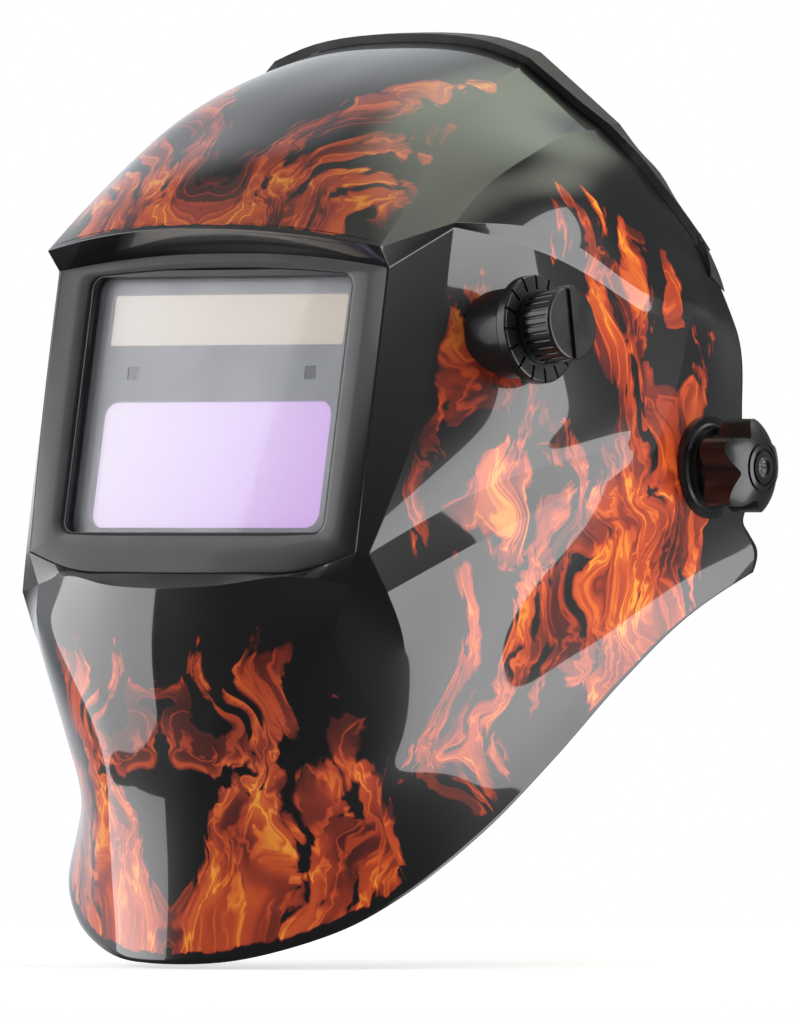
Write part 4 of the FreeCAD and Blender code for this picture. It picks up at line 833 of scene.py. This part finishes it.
def puff(pad):
    """Blow the cover up under a light pressure; no point moves farther than the cap."""
    cloth = pad.modifiers.new("cover", "CLOTH")
    settings = cloth.settings
    settings.quality = 5
    settings.mass = 0.2
    settings.use_pressure = True
    settings.uniform_pressure_force = 4.0
    settings.effector_weights.gravity = 0
    cloth.collision_settings.use_collision = False
    rest = coordinates(pad.data)
    scene = bpy.context.scene
    for number in range(1, 21):
        scene.frame_set(number)
    evaluated = pad.evaluated_get(bpy.context.evaluated_depsgraph_get())
    shift = coordinates(evaluated.data) - rest
    pad.modifiers.remove(cloth)
    scene.frame_set(1)
    length = np.linalg.norm(shift, axis=1, keepdims=True)
    shift = shift * np.minimum(1.0, COVER_MOVE_CAP / np.maximum(length, 1e-9))
    pad.data.vertices.foreach_set("co", (rest + np.nan_to_num(shift)).ravel())


def fit_to_band(pad, centre_y, radius, depth, start_deg, end_deg):
    """Keep the back of the pad on the band, press in the sewn channels, then tilt it with the headgear."""
    points = coordinates(pad.data) / MM
    angle = np.degrees(np.arctan2(points[:, 1] - centre_y, points[:, 0])) % 360
    reach = np.hypot(points[:, 0], points[:, 1] - centre_y)
    f = (angle - start_deg) / (end_deg - start_deg)
    channel = np.exp(-(np.sin(math.pi * f * STITCHES) / 0.2) ** 2)
    face = np.clip((radius - reach) / depth, 0, 1)
    reach = np.minimum(reach, radius) + channel * face * depth * 0.2
    around = np.radians(angle)
    points[:, 0] = reach * np.cos(around)
    points[:, 1] = centre_y + reach * np.sin(around)
    tilt = np.array(Matrix.Rotation(HEAD_TILT, 3, "X"))
    pad.data.vertices.foreach_set("co", (points @ tilt.T * MM).ravel())
    pad.data.update()


def build_pads(materials):
    """Brow and nape pads. A row: name, replaced node, arc centre, outer radius, depth, heights, angles."""
    rows = (("brow_pad_cover", "brow_pad", -8.0, 76.9, 7.4, 21.4, 47.6, 219.0, 321.0),
            ("rear_pad_cover", "rear_pad", 24.0, 76.7, 6.8, 22.4, 46.6, 65.5, 114.5))
    for name, node, centre_y, radius, depth, z_low, z_high, start_deg, end_deg in rows:
        pad = arc_pad(name, centre_y, radius, depth, z_low, z_high, start_deg, end_deg)
        remeshed(pad)
        puff(pad)
        fit_to_band(pad, centre_y, radius, depth, start_deg, end_deg)
        fine = pad.modifiers.new("fine", "SUBSURF")
        fine.levels = 1
        fine.render_levels = 1
        pad.data.materials.clear()
        pad.data.materials.append(materials["sweatband"])
        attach(pad, "headgear")
        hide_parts(node)


# ---------------------------------------------------------------- studio
def direction(azimuth, elevation):
    """Unit vector; azimuth 0 is in front of the helmet and grows towards the wearer's left."""
    a, e = math.radians(azimuth), math.radians(elevation)
    return Vector((math.sin(a) * math.cos(e), -math.cos(a) * math.cos(e), math.sin(e)))


def soft_box(name, azimuth, elevation, distance, size, radiance):
    """Rectangular light aimed at the helmet; radiance is the brightness of its face."""
    data = bpy.data.lights.new(name, "AREA")
    data.shape = "RECTANGLE"
    data.size, data.size_y = size
    data.energy = radiance * math.pi * size[0] * size[1]
    light = bpy.data.objects.new(name, data)
    light.location = direction(azimuth, elevation) * distance
    light.rotation_euler = (-light.location).to_track_quat("-Z", "Y").to_euler()
    light.visible_camera = False
    bpy.context.scene.collection.objects.link(light)


def build_lights():
    soft_box("box_left", -58, 8, 1.3, (1.1, 1.5), 3.4)
    soft_box("box_right", 102, -6, 1.3, (0.92, 1.9), 4.4)
    soft_box("box_front", 30, 34, 2.4, (0.5, 0.5), 2.0)


def build_floor():
    """Round pale floor whose edge fades into the background."""
    bpy.ops.mesh.primitive_circle_add(vertices=96, radius=FLOOR_RADIUS, fill_type="NGON",
                                      location=(0, -0.05, FLOOR_Z))
    floor = bpy.context.object
    floor.name = "floor"
    material, tree, shader = new_material("floor_white")
    shader.inputs["Base Color"].default_value = (0.8, 0.8, 0.8, 1)
    shader.inputs["Emission Color"].default_value = (1, 1, 1, 1)
    shader.inputs["Emission Strength"].default_value = 0.50
    shader.inputs["Roughness"].default_value = 0.9
    shader.inputs["Specular IOR Level"].default_value = 0.0
    place = add_node(tree, "ShaderNodeTexCoord")
    distance = add_node(tree, "ShaderNodeVectorMath", operation="LENGTH")
    tree.links.new(place.outputs["Object"], distance.inputs[0])
    fade = add_node(tree, "ShaderNodeMapRange", interpolation_type="SMOOTHSTEP")
    fade.inputs["From Min"].default_value = FLOOR_FADE[0]
    fade.inputs["From Max"].default_value = FLOOR_FADE[1]
    fade.inputs["To Min"].default_value = 1.0
    fade.inputs["To Max"].default_value = 0.0
    tree.links.new(distance.outputs["Value"], fade.inputs["Value"])
    tree.links.new(fade.outputs["Result"], shader.inputs["Alpha"])
    floor.data.materials.append(material)
    floor.visible_glossy = False


# Soft glows of the room: azimuth, elevation, half width in degrees, brightness, colour.
ROOM_GLOWS = [
    (164, 60, 34, 2.1, (0.86, 0.93, 0.76)),
    (232, 18, 50, 0.75, (0.92, 0.95, 1.0)),
    (-20, 62, 40, 0.35, (1.0, 0.98, 0.94)),
]


def room_glow(tree, where, azimuth, elevation, width, brightness, colour):
    """Soft-edged patch of light in the world, round one direction."""
    dot = add_node(tree, "ShaderNodeVectorMath", operation="DOT_PRODUCT")
    dot.inputs[1].default_value = direction(azimuth, elevation)
    tree.links.new(where, dot.inputs[0])
    fit = add_node(tree, "ShaderNodeMapRange", interpolation_type="SMOOTHSTEP")
    fit.inputs["From Min"].default_value = math.cos(math.radians(width))
    fit.inputs["From Max"].default_value = math.cos(math.radians(width * 0.25))
    fit.inputs["To Max"].default_value = brightness
    tree.links.new(dot.outputs["Value"], fit.inputs["Value"])
    glow = add_node(tree, "ShaderNodeBackground")
    glow.inputs["Color"].default_value = colour + (1.0,)
    tree.links.new(fit.outputs["Result"], glow.inputs["Strength"])
    return glow.outputs[0]


def build_world():
    """White behind the object; a dim room with soft glows for everything else."""
    world = bpy.data.worlds.new("studio")
    bpy.context.scene.world = world
    world.use_nodes = True
    tree = world.node_tree
    tree.nodes.clear()
    output = add_node(tree, "ShaderNodeOutputWorld")
    path = add_node(tree, "ShaderNodeLightPath")
    seen = add_node(tree, "ShaderNodeBackground")
    seen.inputs["Color"].default_value = (1, 1, 1, 1)
    seen.inputs["Strength"].default_value = 1.0
    dim = add_node(tree, "ShaderNodeBackground")
    dim.inputs["Color"].default_value = (0.9, 0.93, 1.0, 1)
    dim.inputs["Strength"].default_value = 0.12
    where = add_node(tree, "ShaderNodeTexCoord").outputs["Generated"]
    room = dim.outputs[0]
    for glow in ROOM_GLOWS:
        add = add_node(tree, "ShaderNodeAddShader")
        tree.links.new(room, add.inputs[0])
        tree.links.new(room_glow(tree, where, *glow), add.inputs[1])
        room = add.outputs[0]
    mix = add_node(tree, "ShaderNodeMixShader")
    tree.links.new(path.outputs["Is Camera Ray"], mix.inputs[0])
    tree.links.new(room, mix.inputs[1])
    tree.links.new(seen.outputs[0], mix.inputs[2])
    tree.links.new(mix.outputs[0], output.inputs["Surface"])


def build_camera():
    """Level camera at the front left, far enough away for nearly parallel lines."""
    data = bpy.data.cameras.new("camera")
    camera = bpy.data.objects.new("camera", data)
    bpy.context.scene.collection.objects.link(camera)
    bpy.context.scene.camera = camera
    right = Vector((math.cos(VIEW_AZIMUTH), math.sin(VIEW_AZIMUTH), 0))
    aim = right * VIEW_AIM[0] + Vector((0, 0, VIEW_AIM[1]))
    away = Vector((math.sin(VIEW_AZIMUTH), -math.cos(VIEW_AZIMUTH), 0))
    camera.location = aim + away * VIEW_DISTANCE
    camera.rotation_euler = (math.pi / 2, 0, VIEW_AZIMUTH)
    data.sensor_width = 36.0
    data.lens = LENS_PER_METRE * (VIEW_DISTANCE - 0.03)
    data.clip_end = 50
    data.dof.use_dof = False


def main():
    materials = make_materials()
    dress_cad(materials)
    skin, bezel = build_skin()
    inside = plastic("shell_inside", (0.014, 0.014, 0.015), (0.48, 0.6), 1300, 0.25)
    for piece, face in ((skin, "shell_plastic"), (bezel, "housing_plastic")):
        piece.data.materials.append(materials[face])
        piece.data.materials.append(inside)
    build_pads(materials)
    build_lights()
    build_floor()
    build_world()
    build_camera()
    bpy.context.scene.view_settings.view_transform = "Standard"


main()
